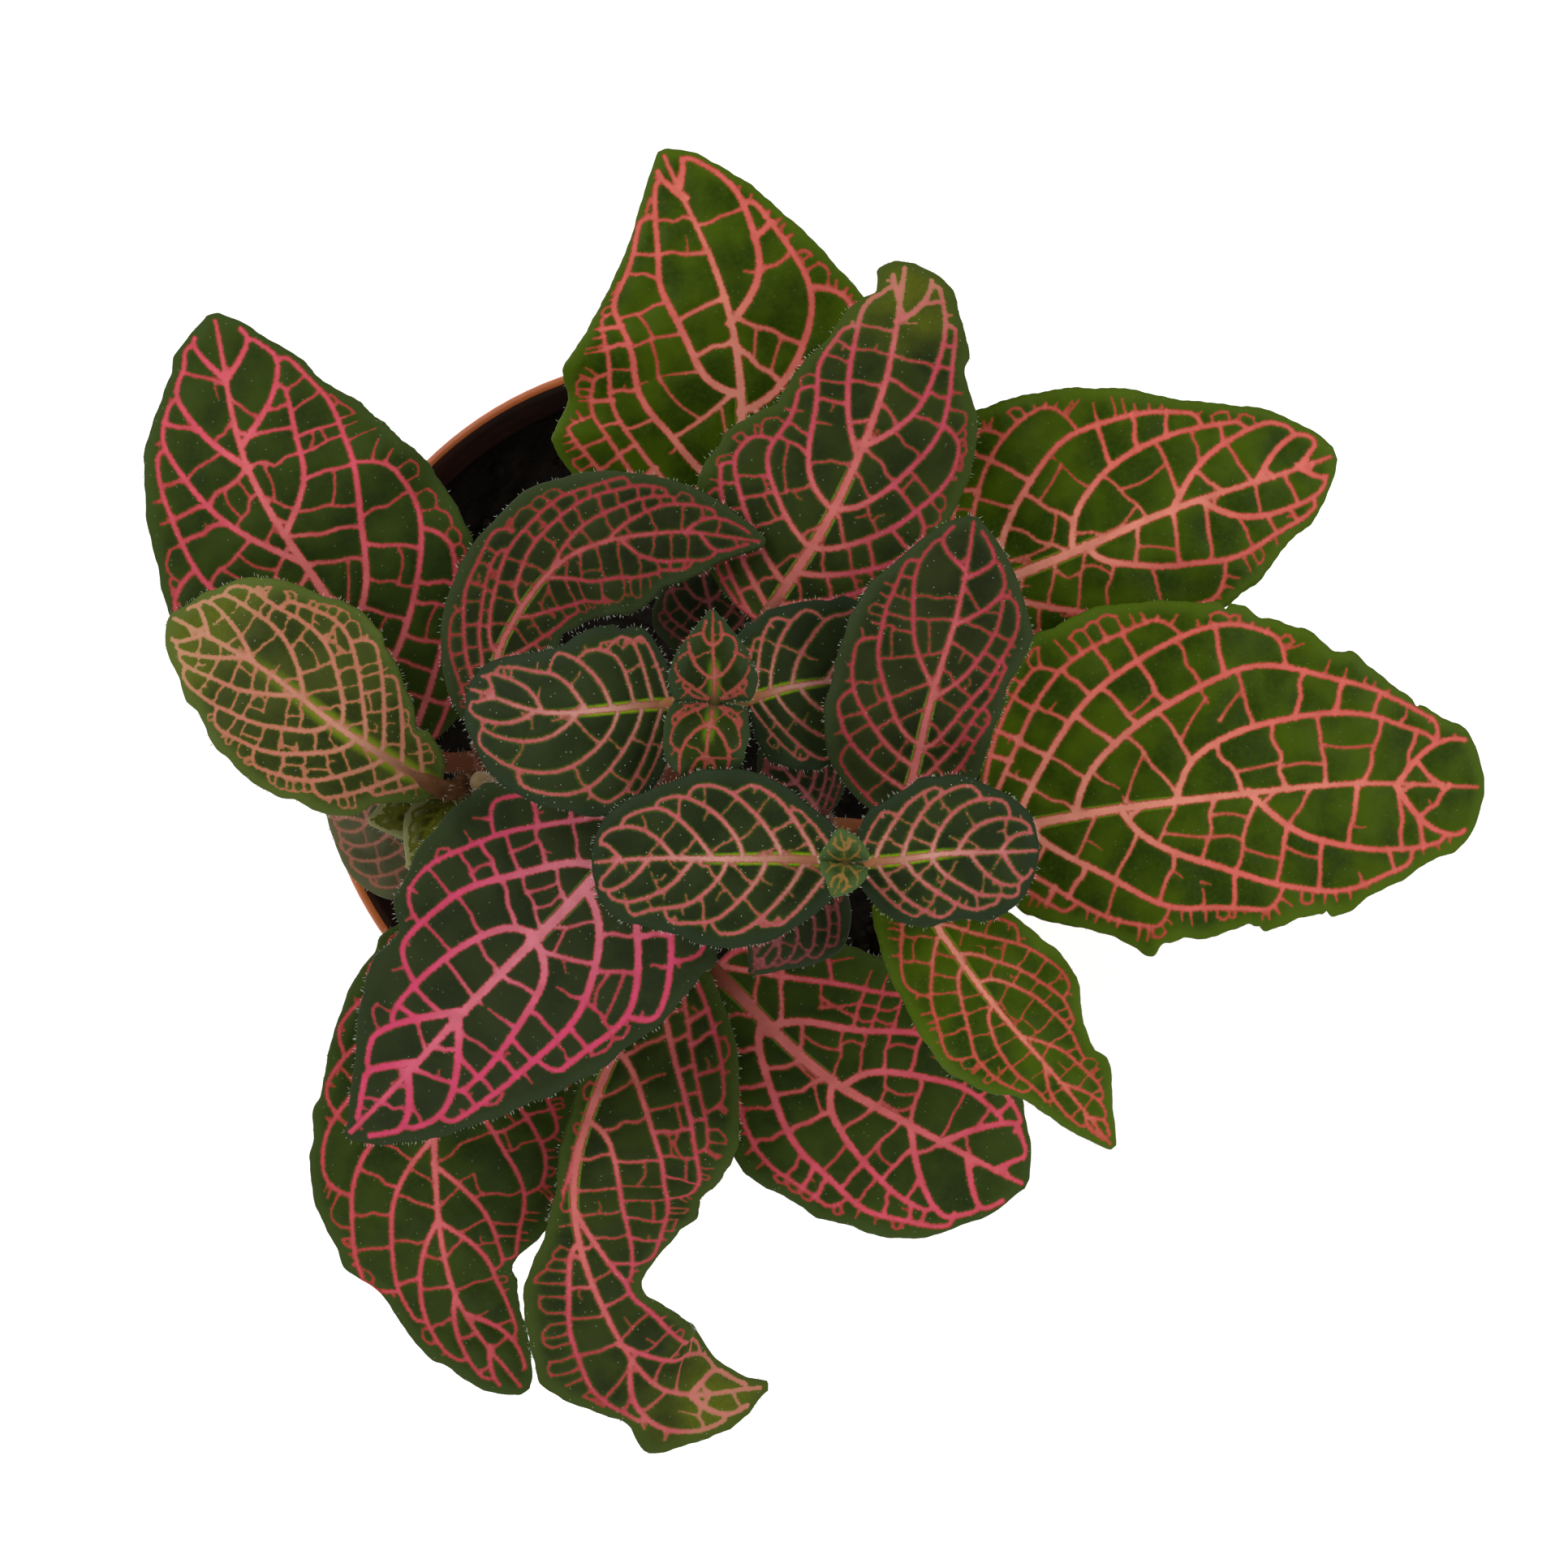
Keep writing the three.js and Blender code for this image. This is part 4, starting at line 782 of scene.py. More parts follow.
class VeinNet:
    """The net of veins in a blade: midrib, arching side veins, rungs, loops and free ends."""

    STEP = 0.3  # mm between a vein's points
    FLARE = 0.45  # mm over which a vein widens where it meets another
    RIB_END = 0.985  # share of the rib that the midrib runs
    RIB_TIP = 0.42  # the midrib's width at its tip, against its base
    OPENED = 0.16  # share of the half that a side vein crosses steeply
    OPENING = 0.06  # half-widths along over which it does so
    SWING = 0.78  # share of the half that it arches over
    EDGE_SHARE = 0.88  # where it ends, as a share of the half
    LAST = 0.96  # where it ends, as a share of the rib
    HELD = 0.66  # its width at its end, against its start
    LEAST_POINTS = 8
    RUNG_AT = (0, 0.28, 0.5, 0.74, 1)  # shares of a rung where it may bend
    RUNG_BEND = 0.03
    FULL_SIZE = 0.85  # a whole rung's width at its far end, against its start
    FREE_END = 0.35  # a broken rung's width at its free end, against a whole one's
    SPLIT_AT = (1.45, 2.6)  # how tall a cell has to be for two and for three parts
    SPUR_CHANCE = 0.22
    SPUR_TIP = 0.06
    COMB_TIP = 0.09
    COMB_SPAN = (0.05, 0.965)
    COMB_PACE = 0.42

    def __init__(self, form: BladeForm, seed: int) -> None:
        """Grows the whole net.

        Args:
            form: The blade's form.
            seed: Seed of this leaf's own random draws.
        """
        self.form = form
        self.plan = form.plan
        self.rng = np.random.default_rng(seed)
        self.veins: list[Vein] = []
        # Half-widths in mm of the midrib, a side vein and a rung, then mm from rung to rung
        self.main = 0.68 * (1 - math.exp(-((form.widest / 6.5) ** 1.5))) * self.plan.thick
        self.side = (0.2 + 0.0135 * form.widest) * self.plan.thick
        self.rung = max(0.04 + 0.0135 * form.widest, 0.12) * self.plan.thick
        self.pace = 1.0 + 0.15 * form.widest
        self.spine = self.midrib()
        for side in (-1, 1):
            self.grow_side(side)

    def add(self, path: np.ndarray, start: float, end: float, flare: float = 0.0) -> np.ndarray:
        """Adds a vein that tapers along a path and may flare where it meets others.

        Args:
            path: Flat points in mm.
            start: Half-width at its start.
            end: Half-width at its end.
            flare: Half-width added at both ends.

        Returns:
            Its points at even steps.
        """
        even = even_path(path, self.STEP)
        share = np.linspace(0, 1, len(even))
        gone = share * (len(even) - 1) * self.STEP
        left = gone[-1] - gone
        spread = np.exp(-gone / self.FLARE) + np.exp(-left / self.FLARE)
        radii = start + (end - start) * share + flare * spread
        self.veins.append(Vein(even, radii))
        return even

    def midrib(self) -> np.ndarray:
        """Draws the midrib, a little uneven, from the stalk to the tip.

        Returns:
            Its points.
        """
        along = np.linspace(0, self.form.length * self.RIB_END, 80)
        sway = 0.012 * self.form.widest * np.sin(along / self.form.length * 9 + self.rng.uniform(0, 6))
        path = np.stack([along, sway * ease(0, 6, along)], axis=1)
        return self.add(path, self.main, self.main * self.RIB_TIP)

    def side_vein(self, side: int, plan: tuple) -> np.ndarray | None:
        """The path of one side vein, which leaves the midrib steeply and arches forward.

        Args:
            side: -1 for the left half, 1 for the right half.
            plan: The share of the rib where it starts, below 0 where it fans out from the
                base, how far it leans forward and, for an outer vein, how far out it runs.

        Returns:
            Its points, or None where there is no room for it.
        """
        form, rng = self.form, self.rng
        share, sweep = plan[:2]
        width = max(self.plan.left if side < 0 else self.plan.right)
        x = np.concatenate([np.linspace(0, 0.3, 31)[:-1], np.linspace(0.3, 4.5, 300)])
        along = share * form.length + x * width
        t = along / form.length
        room = form.edge(t, side) - 0.6 * self.plan.margin
        if len(plan) > 2:
            far = plan[2] * form.edge(t[:1], side)[0] * np.tanh(x / sweep)
            away = -np.log(np.exp(-2 * far) + np.exp(-2 * np.maximum(0.9 * room, 0))) / 2
            away = away - away[0] * np.exp(-x / 0.05)
            keep = (t < self.LAST) & (room > 0.5)
        else:
            out = self.OPENED * (1 - np.exp(-x / self.OPENING)) + self.SWING * np.tanh(x / sweep)
            away = out * form.vein_reach(t, side)
            keep = (t < self.LAST) & (out < self.EDGE_SHARE) & (away < room)
        away = away * (1 + 0.02 * np.sin(x * 8 + rng.uniform(0, 6)) * ease(0.1, 0.6, x))
        keep &= along > 0.4
        first = int(np.argmax(keep))
        last = first + int(np.argmin(np.append(keep[first:], False)))
        if last - first < self.LEAST_POINTS:
            return None
        path = np.stack([along[first:last], side * away[first:last]], axis=1)
        return np.concatenate([[[max(along[0], 0.2), 0.0]], path])

    def joined(self, path: np.ndarray, inner: np.ndarray | None, width: float) -> np.ndarray:
        """Ends a side vein by bending it in to the next one, where that is near enough.

        Args:
            path: The side vein.
            inner: The next one towards the tip, if there is one.
            width: The half's greatest width.

        Returns:
            The side vein with its new end.
        """
        if inner is None:
            return path
        gaps = np.linalg.norm(path[:, None, :] - inner[None, :, :], axis=2).min(axis=1)
        widest = int(np.argmax(gaps))
        near = np.flatnonzero(gaps[widest:] < 0.07 * width + 0.35)
        last = widest + int(near[0]) if len(near) else len(path) - 1
        gap = gaps[last]
        path = path[: last + 1]
        if gap > 0.45 * width or path[-1, 0] < inner[0, 0] or last < 4:
            return path
        way = unit(path[-1] - path[-4])
        goal = inner[np.argmin(np.linalg.norm(inner - path[-1] - way * 0.7 * gap, axis=1))]
        f = np.linspace(0, 1, 10)[1:, None]
        bend = (1 - f) ** 2 * path[-1] + 2 * f * (1 - f) * (path[-1] + way * 0.55 * gap) + f**2 * goal
        return np.concatenate([path, bend])

    def grow_side(self, side: int) -> None:
        """Draws one half's side veins, from the base to the tip, and all between them.

        Args:
            side: -1 for the left half, 1 for the right half.
        """
        form, plan = self.form, self.plan
        width = max(plan.left if side < 0 else plan.right)
        raw = []
        for vein in plan.veins_left if side < 0 else plan.veins_right:
            path = self.side_vein(side, vein)
            if path is not None:
                raw.append((vein[0] * form.length, path))
        paths = []
        for index, (start, path) in enumerate(raw):
            inner = raw[index + 1][1] if index + 1 < len(raw) else None
            size = self.side * (1.0 if start > 0 else 0.8)
            drawn = self.add(self.joined(path, inner, width), size, size * self.HELD, flare=size * 0.12)
            paths.append((start, drawn))
        nothing = np.zeros((0, 2))
        for (start, outer), (ahead, inner) in zip(paths, [*paths[1:], (form.length * 0.95, nothing)]):
            x = self.spine[:, 0]
            stretch = self.spine[(x >= max(start, 0)) & (x <= max(ahead, 0))]
            line = np.concatenate([stretch, inner])
            if len(line):
                self.rungs_between(line, outer, side)
        if paths:
            self.comb(np.concatenate([self.spine[::2], *(path for _, path in paths)]), side, width)

    def rungs_between(self, inner: np.ndarray, outer: np.ndarray, side: int) -> None:
        """Draws the rungs of one band, from its inner line to its outer one.

        Args:
            inner: Points of the line nearer the midrib.
            outer: Points of the line nearer the edge.
            side: Which half it is.
        """
        rng, form = self.rng, self.form
        inner = even_path(inner, self.STEP)
        place = self.pace * rng.uniform(0.35, 0.7)
        before = None
        while place < (len(inner) - 1) * self.STEP:
            start = inner[int(place / self.STEP)]
            share = abs(start[1]) / float(form.reach(start[:1] / form.length, side)[0])
            pace = self.pace * (1.12 - 0.6 * min(share, 0.9)) / self.plan.rungs
            gaps = np.linalg.norm(outer - start, axis=1)
            nearest = int(np.argmin(gaps))
            gap = gaps[nearest]
            inside = 2 < nearest < len(outer) - 3 and side * outer[nearest, 1] > side * start[1]
            if inside and gap > 0.3 * self.pace:
                rung = self.draw_rung(start, outer[nearest], gap)
                if before is not None:
                    self.fill_cell(before, rung, gap / pace)
                before = rung
            else:
                before = None
            place += pace * rng.uniform(0.75, 1.25)

    def draw_rung(self, start: np.ndarray, end: np.ndarray, gap: float) -> np.ndarray:
        """Draws one slightly kinked rung, whole or broken off.

        Args:
            start: Its foot.
            end: Its other end.
            gap: The distance between them.

        Returns:
            The points of its whole line.
        """
        rng = self.rng
        line = end - start
        across = np.array([-line[1], line[0]]) / max(gap, 1e-6)
        bends = [0.0, *rng.normal(0, self.RUNG_BEND * gap, 3), 0.0]
        points = np.array([start + line * f + across * b for f, b in zip(self.RUNG_AT, bends)])
        curve = smooth(points, np.linspace(0, 1, 14))
        size = self.rung * rng.uniform(0.75, 1.15)
        if rng.random() < self.plan.whole:
            return self.add(curve, size, size * self.FULL_SIZE, flare=size * 0.4)
        if rng.random() < 0.5:
            curve = curve[::-1]
        reach = int(rng.integers(5, 11))
        self.add(curve[:reach], size * 0.9, size * self.FREE_END, flare=size * 0.15)
        if rng.random() < 0.4:
            self.add(curve[reach + 1 :][::-1], size * 0.7, size * self.FREE_END, flare=size * 0.1)
        return even_path(curve, self.STEP)

    def kinked(self, start: np.ndarray, end: np.ndarray, kink: float, count: int) -> np.ndarray:
        """A curve of some points from start to end, kinked at random in its middle."""
        middle = (start + end) / 2 + self.rng.normal(0, kink, 2)
        return smooth(np.stack([start, middle, end]), np.linspace(0, 1, count))

    def fill_cell(self, one: np.ndarray, other: np.ndarray, tall: float) -> None:
        """Splits a tall cell between two rungs, or lets a spur end free in it.

        Args:
            one: Points of one rung.
            other: Points of the next.
            tall: The cell's height against its width.
        """
        rng = self.rng
        splits = 1 + sum(tall >= least for least in self.SPLIT_AT)
        for part in range(splits):
            middle = (part + 1) / (splits + 1) if splits > 1 else rng.uniform(0.35, 0.65)
            f, g = np.clip(middle + rng.uniform(-0.1, 0.1, 2), 0.1, 0.9)
            start = one[int(f * (len(one) - 1))]
            end = other[int(g * (len(other) - 1))]
            if rng.random() < 0.5:
                start, end = end, start
            chance = rng.random()
            if splits > 1 and chance < 0.4 * self.plan.whole:
                path = self.kinked(start, end, 0.35, 10)
                self.add(path, self.rung * 0.65, self.rung * 0.6, flare=self.rung * 0.3)
            elif chance < self.SPUR_CHANCE:
                tip = start + (end - start) * rng.uniform(0.2, 0.5)
                path = self.kinked(start, tip, 0.16, 6)
                self.add(path, self.rung * 0.55, self.SPUR_TIP, flare=self.rung * 0.12)

    def comb(self, lines: np.ndarray, side: int, width: float) -> None:
        """Runs fine veins from the outermost lines towards the edge and loops some of them.

        Args:
            lines: Points of all the side veins of this half.
            side: Which half it is.
            width: The half's greatest width.
        """
        form, rng = self.form, self.rng
        pace = self.COMB_PACE * self.pace / self.plan.fringe
        first, last = self.COMB_SPAN
        along, before = first * form.length, None
        while along < last * form.length:
            reach = float(form.edge(np.array([along / form.length]), side)[0])
            room = max(self.plan.margin, 0.06 * reach)
            tip = np.array([along, side * (reach - room * rng.uniform(0.75, 1.2))])
            gaps = np.linalg.norm(lines - tip, axis=1)
            nearest = int(np.argmin(gaps))
            start, gap = lines[nearest], gaps[nearest]
            if 0.5 < gap < 0.5 * width and reach > 2:
                end = start + (tip - start) * (1.0 if gap < 1.5 else rng.uniform(0.6, 1.0))
                path = self.kinked(start, end, 0.035 * gap, 8)
                size = self.rung * rng.uniform(0.55, 0.95)
                self.add(path, size, self.COMB_TIP, flare=size * 0.25)
                if before is not None and rng.random() < self.plan.loops:
                    middle = (before + end) / 2
                    middle[1] += side * 0.22 * np.linalg.norm(end - before)
                    middle[1] = side * min(side * middle[1], reach - 0.5 * self.plan.margin)
                    arc = smooth(np.stack([before, middle, end]), np.linspace(0, 1, 9))
                    self.add(arc, self.rung * 0.6, self.rung * 0.6)
                before = end
            else:
                before = None
            along += pace * rng.uniform(0.6, 1.5)


class VeinField:
    """Finds how deep any point of the blade lies inside or outside a vein."""

    CELL = 1.6  # mm across a cell
    FAR = -1.5  # depth given where no vein is near
    AROUND = tuple((i, j) for i in (-1, 0, 1) for j in (-1, 0, 1))

    def __init__(self, veins: list[Vein]) -> None:
        """Sorts the veins' points into square cells.

        Args:
            veins: All the veins of a blade.
        """
        self.points = np.concatenate([vein.path for vein in veins])
        self.radii = np.concatenate([vein.radii for vein in veins])
        self.cells: dict[tuple, list] = {}
        for index, key in enumerate(cell_keys(self.points, self.CELL)):
            self.cells.setdefault(key, []).append(index)

    def measure(self, places: np.ndarray) -> tuple[np.ndarray, np.ndarray]:
        """Measures places against the nearest vein.

        Args:
            places: Flat points of the blade.

        Returns:
            How far each is inside a vein's edge in mm, and that vein's half-width.
        """
        depth = np.full(len(places), self.FAR)
        size = np.full(len(places), 0.15)
        keys = np.floor(places / self.CELL).astype(int)
        order = np.lexsort((keys[:, 1], keys[:, 0]))
        ordered = keys[order]
        fresh = np.any(np.diff(ordered, axis=0) != 0, axis=1)
        bounds = np.concatenate([[0], np.flatnonzero(fresh) + 1, [len(order)]])
        for low, high in zip(bounds, bounds[1:]):
            x, y = ordered[low]
            near = [index for i, j in self.AROUND for index in self.cells.get((x + i, y + j), [])]
            if not near:
                continue
            rows = order[low:high]
            gaps = places[rows, None, :] - self.points[None, near, :]
            inside = self.radii[None, near] - np.hypot(gaps[..., 0], gaps[..., 1])
            best = np.argmax(inside, axis=1)
            found = inside[np.arange(len(rows)), best]
            depth[rows] = np.maximum(found, self.FAR)
            size[rows] = self.radii[near][best]
        return depth, size


def cell_keys(points: np.ndarray, cell: float) -> list[tuple]:
    """The key of the square cell that each flat point lies in."""
    return list(map(tuple, np.floor(points / cell).astype(int)))


def taken_cells(points: np.ndarray, cell: float) -> set:
    """Keys of the square cells at and round some points, where no fill point may stand."""
    keys = np.floor(points / cell).astype(int)
    return {key for shift in VeinField.AROUND for key in map(tuple, keys + shift)}


class MeshSheets:
    """Gathers points, faces and surface values of one piece and makes its mesh."""

    VALUES = ("vein_depth", "vein_size", "rib_gap", "rim", "top", "along", "across")

    def __init__(self) -> None:
        """Starts with nothing."""
        self.points: list[np.ndarray] = []
        self.faces: list[np.ndarray] = []
        self.looks: list[np.ndarray] = []
        self.values: dict[str, list[np.ndarray]] = {name: [] for name in self.VALUES}
        self.count = 0

    def add(self, points: np.ndarray, faces: np.ndarray, look: int = 0, **values: np.ndarray) -> int:
        """Adds points with their faces.

        Args:
            points: Places in mm.
            faces: Rows of three indices into these points.
            look: Which of the piece's materials they wear.
            values: Surface values for the points, each 0 where left out.

        Returns:
            The index of the first of these points.
        """
        start = self.count
        self.points.append(points)
        if len(faces):
            self.faces.append(np.asarray(faces) + start)
            self.looks.append(np.full(len(faces), look))
        for name in self.VALUES:
            given = values.get(name, 0.0)
            self.values[name].append(np.broadcast_to(given, len(points)).astype(float))
        self.count += len(points)
        return start

    def join(self, faces: np.ndarray, look: int = 0) -> None:
        """Adds faces between points that are already in."""
        self.faces.append(np.asarray(faces))
        self.looks.append(np.full(len(faces), look))

    def build(self, name: str, materials: list) -> bpy.types.Object:
        """Makes the object.

        Args:
            name: The piece's name.
            materials: Its materials, in the order of the looks.

        Returns:
            The new object, at the origin.
        """
        points = np.concatenate(self.points) * MM
        faces = np.concatenate(self.faces)
        mesh = bpy.data.meshes.new(name)
        mesh.vertices.add(len(points))
        mesh.vertices.foreach_set("co", points.ravel())
        mesh.loops.add(len(faces) * 3)
        mesh.loops.foreach_set("vertex_index", faces.ravel().astype(np.int32))
        mesh.polygons.add(len(faces))
        mesh.polygons.foreach_set("loop_start", np.arange(0, len(faces) * 3, 3, dtype=np.int32))
        mesh.update(calc_edges=True)
        mesh.validate()
        for material in materials:
            mesh.materials.append(material)
        looks = np.concatenate(self.looks).astype(np.int32)
        mesh.polygons.foreach_set("material_index", looks)
        mesh.polygons.foreach_set("use_smooth", np.ones(len(faces), dtype=bool))
        for value, rows in self.values.items():
            layer = mesh.attributes.new(value, "FLOAT", "POINT")
            layer.data.foreach_set("value", np.concatenate(rows).astype(np.float32))
        piece = bpy.data.objects.new(name, mesh)
        bpy.context.scene.collection.objects.link(piece)
        return piece


def tube(centres: np.ndarray, radii: np.ndarray, sides: int) -> tuple[np.ndarray, np.ndarray]:
    """A closed round tube along a path.

    Args:
        centres: Points of its middle.
        radii: Its radius at each of them.
        sides: How many sides it has.

    Returns:
        Its points and its faces, facing out.
    """
    along = unit(np.gradient(centres, axis=0))
    guide = np.array([0.0, 0.0, 1.0]) if abs(along[0, 2]) < 0.9 else np.array([1.0, 0.0, 0.0])
    side = unit(np.cross(along, guide))
    over = np.cross(side, along)
    angles = np.arange(sides) * 2 * np.pi / sides
    ring = (
        side[:, None, :] * np.cos(angles)[None, :, None]
        + over[:, None, :] * np.sin(angles)[None, :, None]
    )
    points = (centres[:, None, :] + ring * radii[:, None, None]).reshape(-1, 3)
    faces = []
    for i in range(len(centres) - 1):
        for k in range(sides):
            a, b = i * sides + k, i * sides + (k + 1) % sides
            c, d = b + sides, a + sides
            faces += [(a, c, b), (a, d, c)]
    ends = np.array([centres[0], centres[-1]])
    first, last = len(points), len(points) + 1
    back = (len(centres) - 1) * sides
    for k in range(sides):
        faces.append((first, k, (k + 1) % sides))
        faces.append((last, back + (k + 1) % sides, back + k))
    return np.concatenate([points, ends]), np.array(faces)


def hairs(
    roots: np.ndarray, ways: np.ndarray, lengths: np.ndarray, radius: float
) -> tuple[np.ndarray, np.ndarray]:
    """Short three-sided hairs.

    Args:
        roots: Where they stand.
        ways: Which way each one points.
        lengths: How long each one is.
        radius: Half their thickness at the root.

    Returns:
        Their points and faces.
    """
    ways = unit(ways)
    spare = np.where(np.abs(ways[:, 2:3]) < 0.8, [[0.0, 0.0, 1.0]], [[1.0, 0.0, 0.0]])
    side = unit(np.cross(ways, spare))
    over = np.cross(ways, side)
    corners = []
    for k in range(3):
        angle = 2 * math.pi * k / 3
        corners.append(roots + radius * (side * math.cos(angle) + over * math.sin(angle)))
    tips = roots + ways * lengths[:, None]
    points = np.stack([*corners, tips], axis=1).reshape(-1, 3)
    base = np.arange(len(roots))[:, None, None] * 4
    shape = np.array([(0, 1, 3), (1, 2, 3), (2, 0, 3), (0, 2, 1)])[None]
    return points, (base + shape).reshape(-1, 3)


def linear(code: str) -> tuple[float, float, float, float]:
    """Turns an sRGB hex colour into the shader's linear one.

    Args:
        code: The colour, as # and six digits.

    Returns:
        Red, green, blue and 1.
    """
    parts = [int(code[i : i + 2], 16) / 255 for i in (1, 3, 5)]
    bent = [p / 12.92 if p <= 0.04045 else ((p + 0.055) / 1.055) ** 2.4 for p in parts]
    return (*bent, 1.0)


class Shading:
    """Places and joins shader nodes in one tree."""

    def __init__(self, tree: bpy.types.NodeTree) -> None:
        """Keeps the tree."""
        self.tree = tree

    def node(self, kind: str, **settings: object) -> bpy.types.Node:
        """Adds a node and sets what it is told.

        Args:
            kind: The node's type.
            settings: Its own settings by name.

        Returns:
            The node.
        """
        made = self.tree.nodes.new(kind)
        for key, value in settings.items():
            setattr(made, key, value)
        return made

    def feed(self, socket: bpy.types.NodeSocket, value: object) -> None:
        """Joins a socket to another one, or sets its value.

        Args:
            socket: The input.
            value: What feeds it: a socket, a constant or nothing.
        """
        if isinstance(value, bpy.types.NodeSocket):
            self.tree.links.new(value, socket)
        elif value is not None:
            socket.default_value = value

    def math(self, operation: str, a: object, b: object) -> bpy.types.NodeSocket:
        """Reckons with two values.

        Args:
            operation: The Math node's operation.
            a: The first value or socket.
            b: The second one.

        Returns:
            The result.
        """
        made = self.node("ShaderNodeMath", operation=operation)
        self.feed(made.inputs[0], a)
        self.feed(made.inputs[1], b)
        return made.outputs[0]

    def times(self, a: object, b: object) -> bpy.types.NodeSocket:
        """The product of two values."""
        return self.math("MULTIPLY", a, b)

    def plus(self, a: object, b: object) -> bpy.types.NodeSocket:
        """The sum of two values."""
        return self.math("ADD", a, b)

    def less(self, a: object, b: object) -> bpy.types.NodeSocket:
        """The first value less the second."""
        return self.math("SUBTRACT", a, b)

    def step(self, value: object, low: float, high: object) -> bpy.types.NodeSocket:
        """Makes a soft step from 0 to 1.

        Args:
            value: What is measured.
            low: Where the step is 0.
            high: Where it is 1.

        Returns:
            The step.
        """
        made = self.node("ShaderNodeMapRange", interpolation_type="SMOOTHSTEP")
        for title, given in (("Value", value), ("From Min", low), ("From Max", high)):
            self.feed(made.inputs[title], given)
        return made.outputs["Result"]

    def fall(self, value: object, low: float, high: object) -> bpy.types.NodeSocket:
        """A soft step from 1 at low to 0 at high."""
        return self.less(1.0, self.step(value, low, high))

    def mix(self, share: object, a: object, b: object) -> bpy.types.NodeSocket:
        """Mixes two colours.

        Args:
            share: How much of the second one.
            a: The first colour.
            b: The second.

        Returns:
            The mixed colour.
        """
        made = self.node("ShaderNodeMix", data_type="RGBA")
        for index, value in ((0, share), (6, a), (7, b)):
            self.feed(made.inputs[index], value)
        return made.outputs[2]

    def place(self) -> bpy.types.NodeSocket:
        """The surface's place on its own object, in metres."""
        return self.node("ShaderNodeTexCoord").outputs["Object"]

    def value(self, name: str) -> bpy.types.NodeSocket:
        """One of the surface values kept on the mesh."""
        return self.node("ShaderNodeAttribute", attribute_name=name).outputs["Fac"]

    def texture(self, kind: str, place: object, grain_mm: float) -> bpy.types.Node:
        """Adds a texture with grains of a size.

        Args:
            kind: The node's type.
            place: The place that it follows.
            grain_mm: Size of its grains.

        Returns:
            The node.
        """
        made = self.node(kind)
        self.feed(made.inputs["Vector"], place)
        made.inputs["Scale"].default_value = 1 / (grain_mm * MM)
        return made

    def noise(self, place: object, grain_mm: float, detail: float = 3.0) -> bpy.types.NodeSocket:
        """Adds cloudy noise from 0 to 1.

        Args:
            place: The place that it follows.
            grain_mm: Size of its grains.
            detail: How many finer layers it has.

        Returns:
            The noise.
        """
        made = self.texture("ShaderNodeTexNoise", place, grain_mm)
        made.inputs["Detail"].default_value = detail
        return made.outputs["Fac"]


def new_group(name: str, inputs: dict, outputs: dict) -> tuple[Shading, bpy.types.Node, bpy.types.Node]:
    """Starts a shader node group.

    Args:
        name: The group's name.
        inputs: Default value of each input by name: a number or a colour.
        outputs: Socket type of each output by name.

    Returns:
        The tools to fill it, and its input and output nodes.
    """
    tree = bpy.data.node_groups.new(name, "ShaderNodeTree")
    for title, default in inputs.items():
        kind = "NodeSocketColor" if isinstance(default, tuple) else "NodeSocketFloat"
        socket = tree.interface.new_socket(name=title, in_out="INPUT", socket_type=kind)
        socket.default_value = default
    for title, kind in outputs.items():
        tree.interface.new_socket(name=title, in_out="OUTPUT", socket_type=kind)
    tools = Shading(tree)
    return tools, tools.node("NodeGroupInput"), tools.node("NodeGroupOutput")


EFFECT_OUTPUTS = {"Color": "NodeSocketColor", "Roughness": "NodeSocketFloat", "Height": "NodeSocketFloat"}
GREY = (0.1, 0.1, 0.1, 1.0)

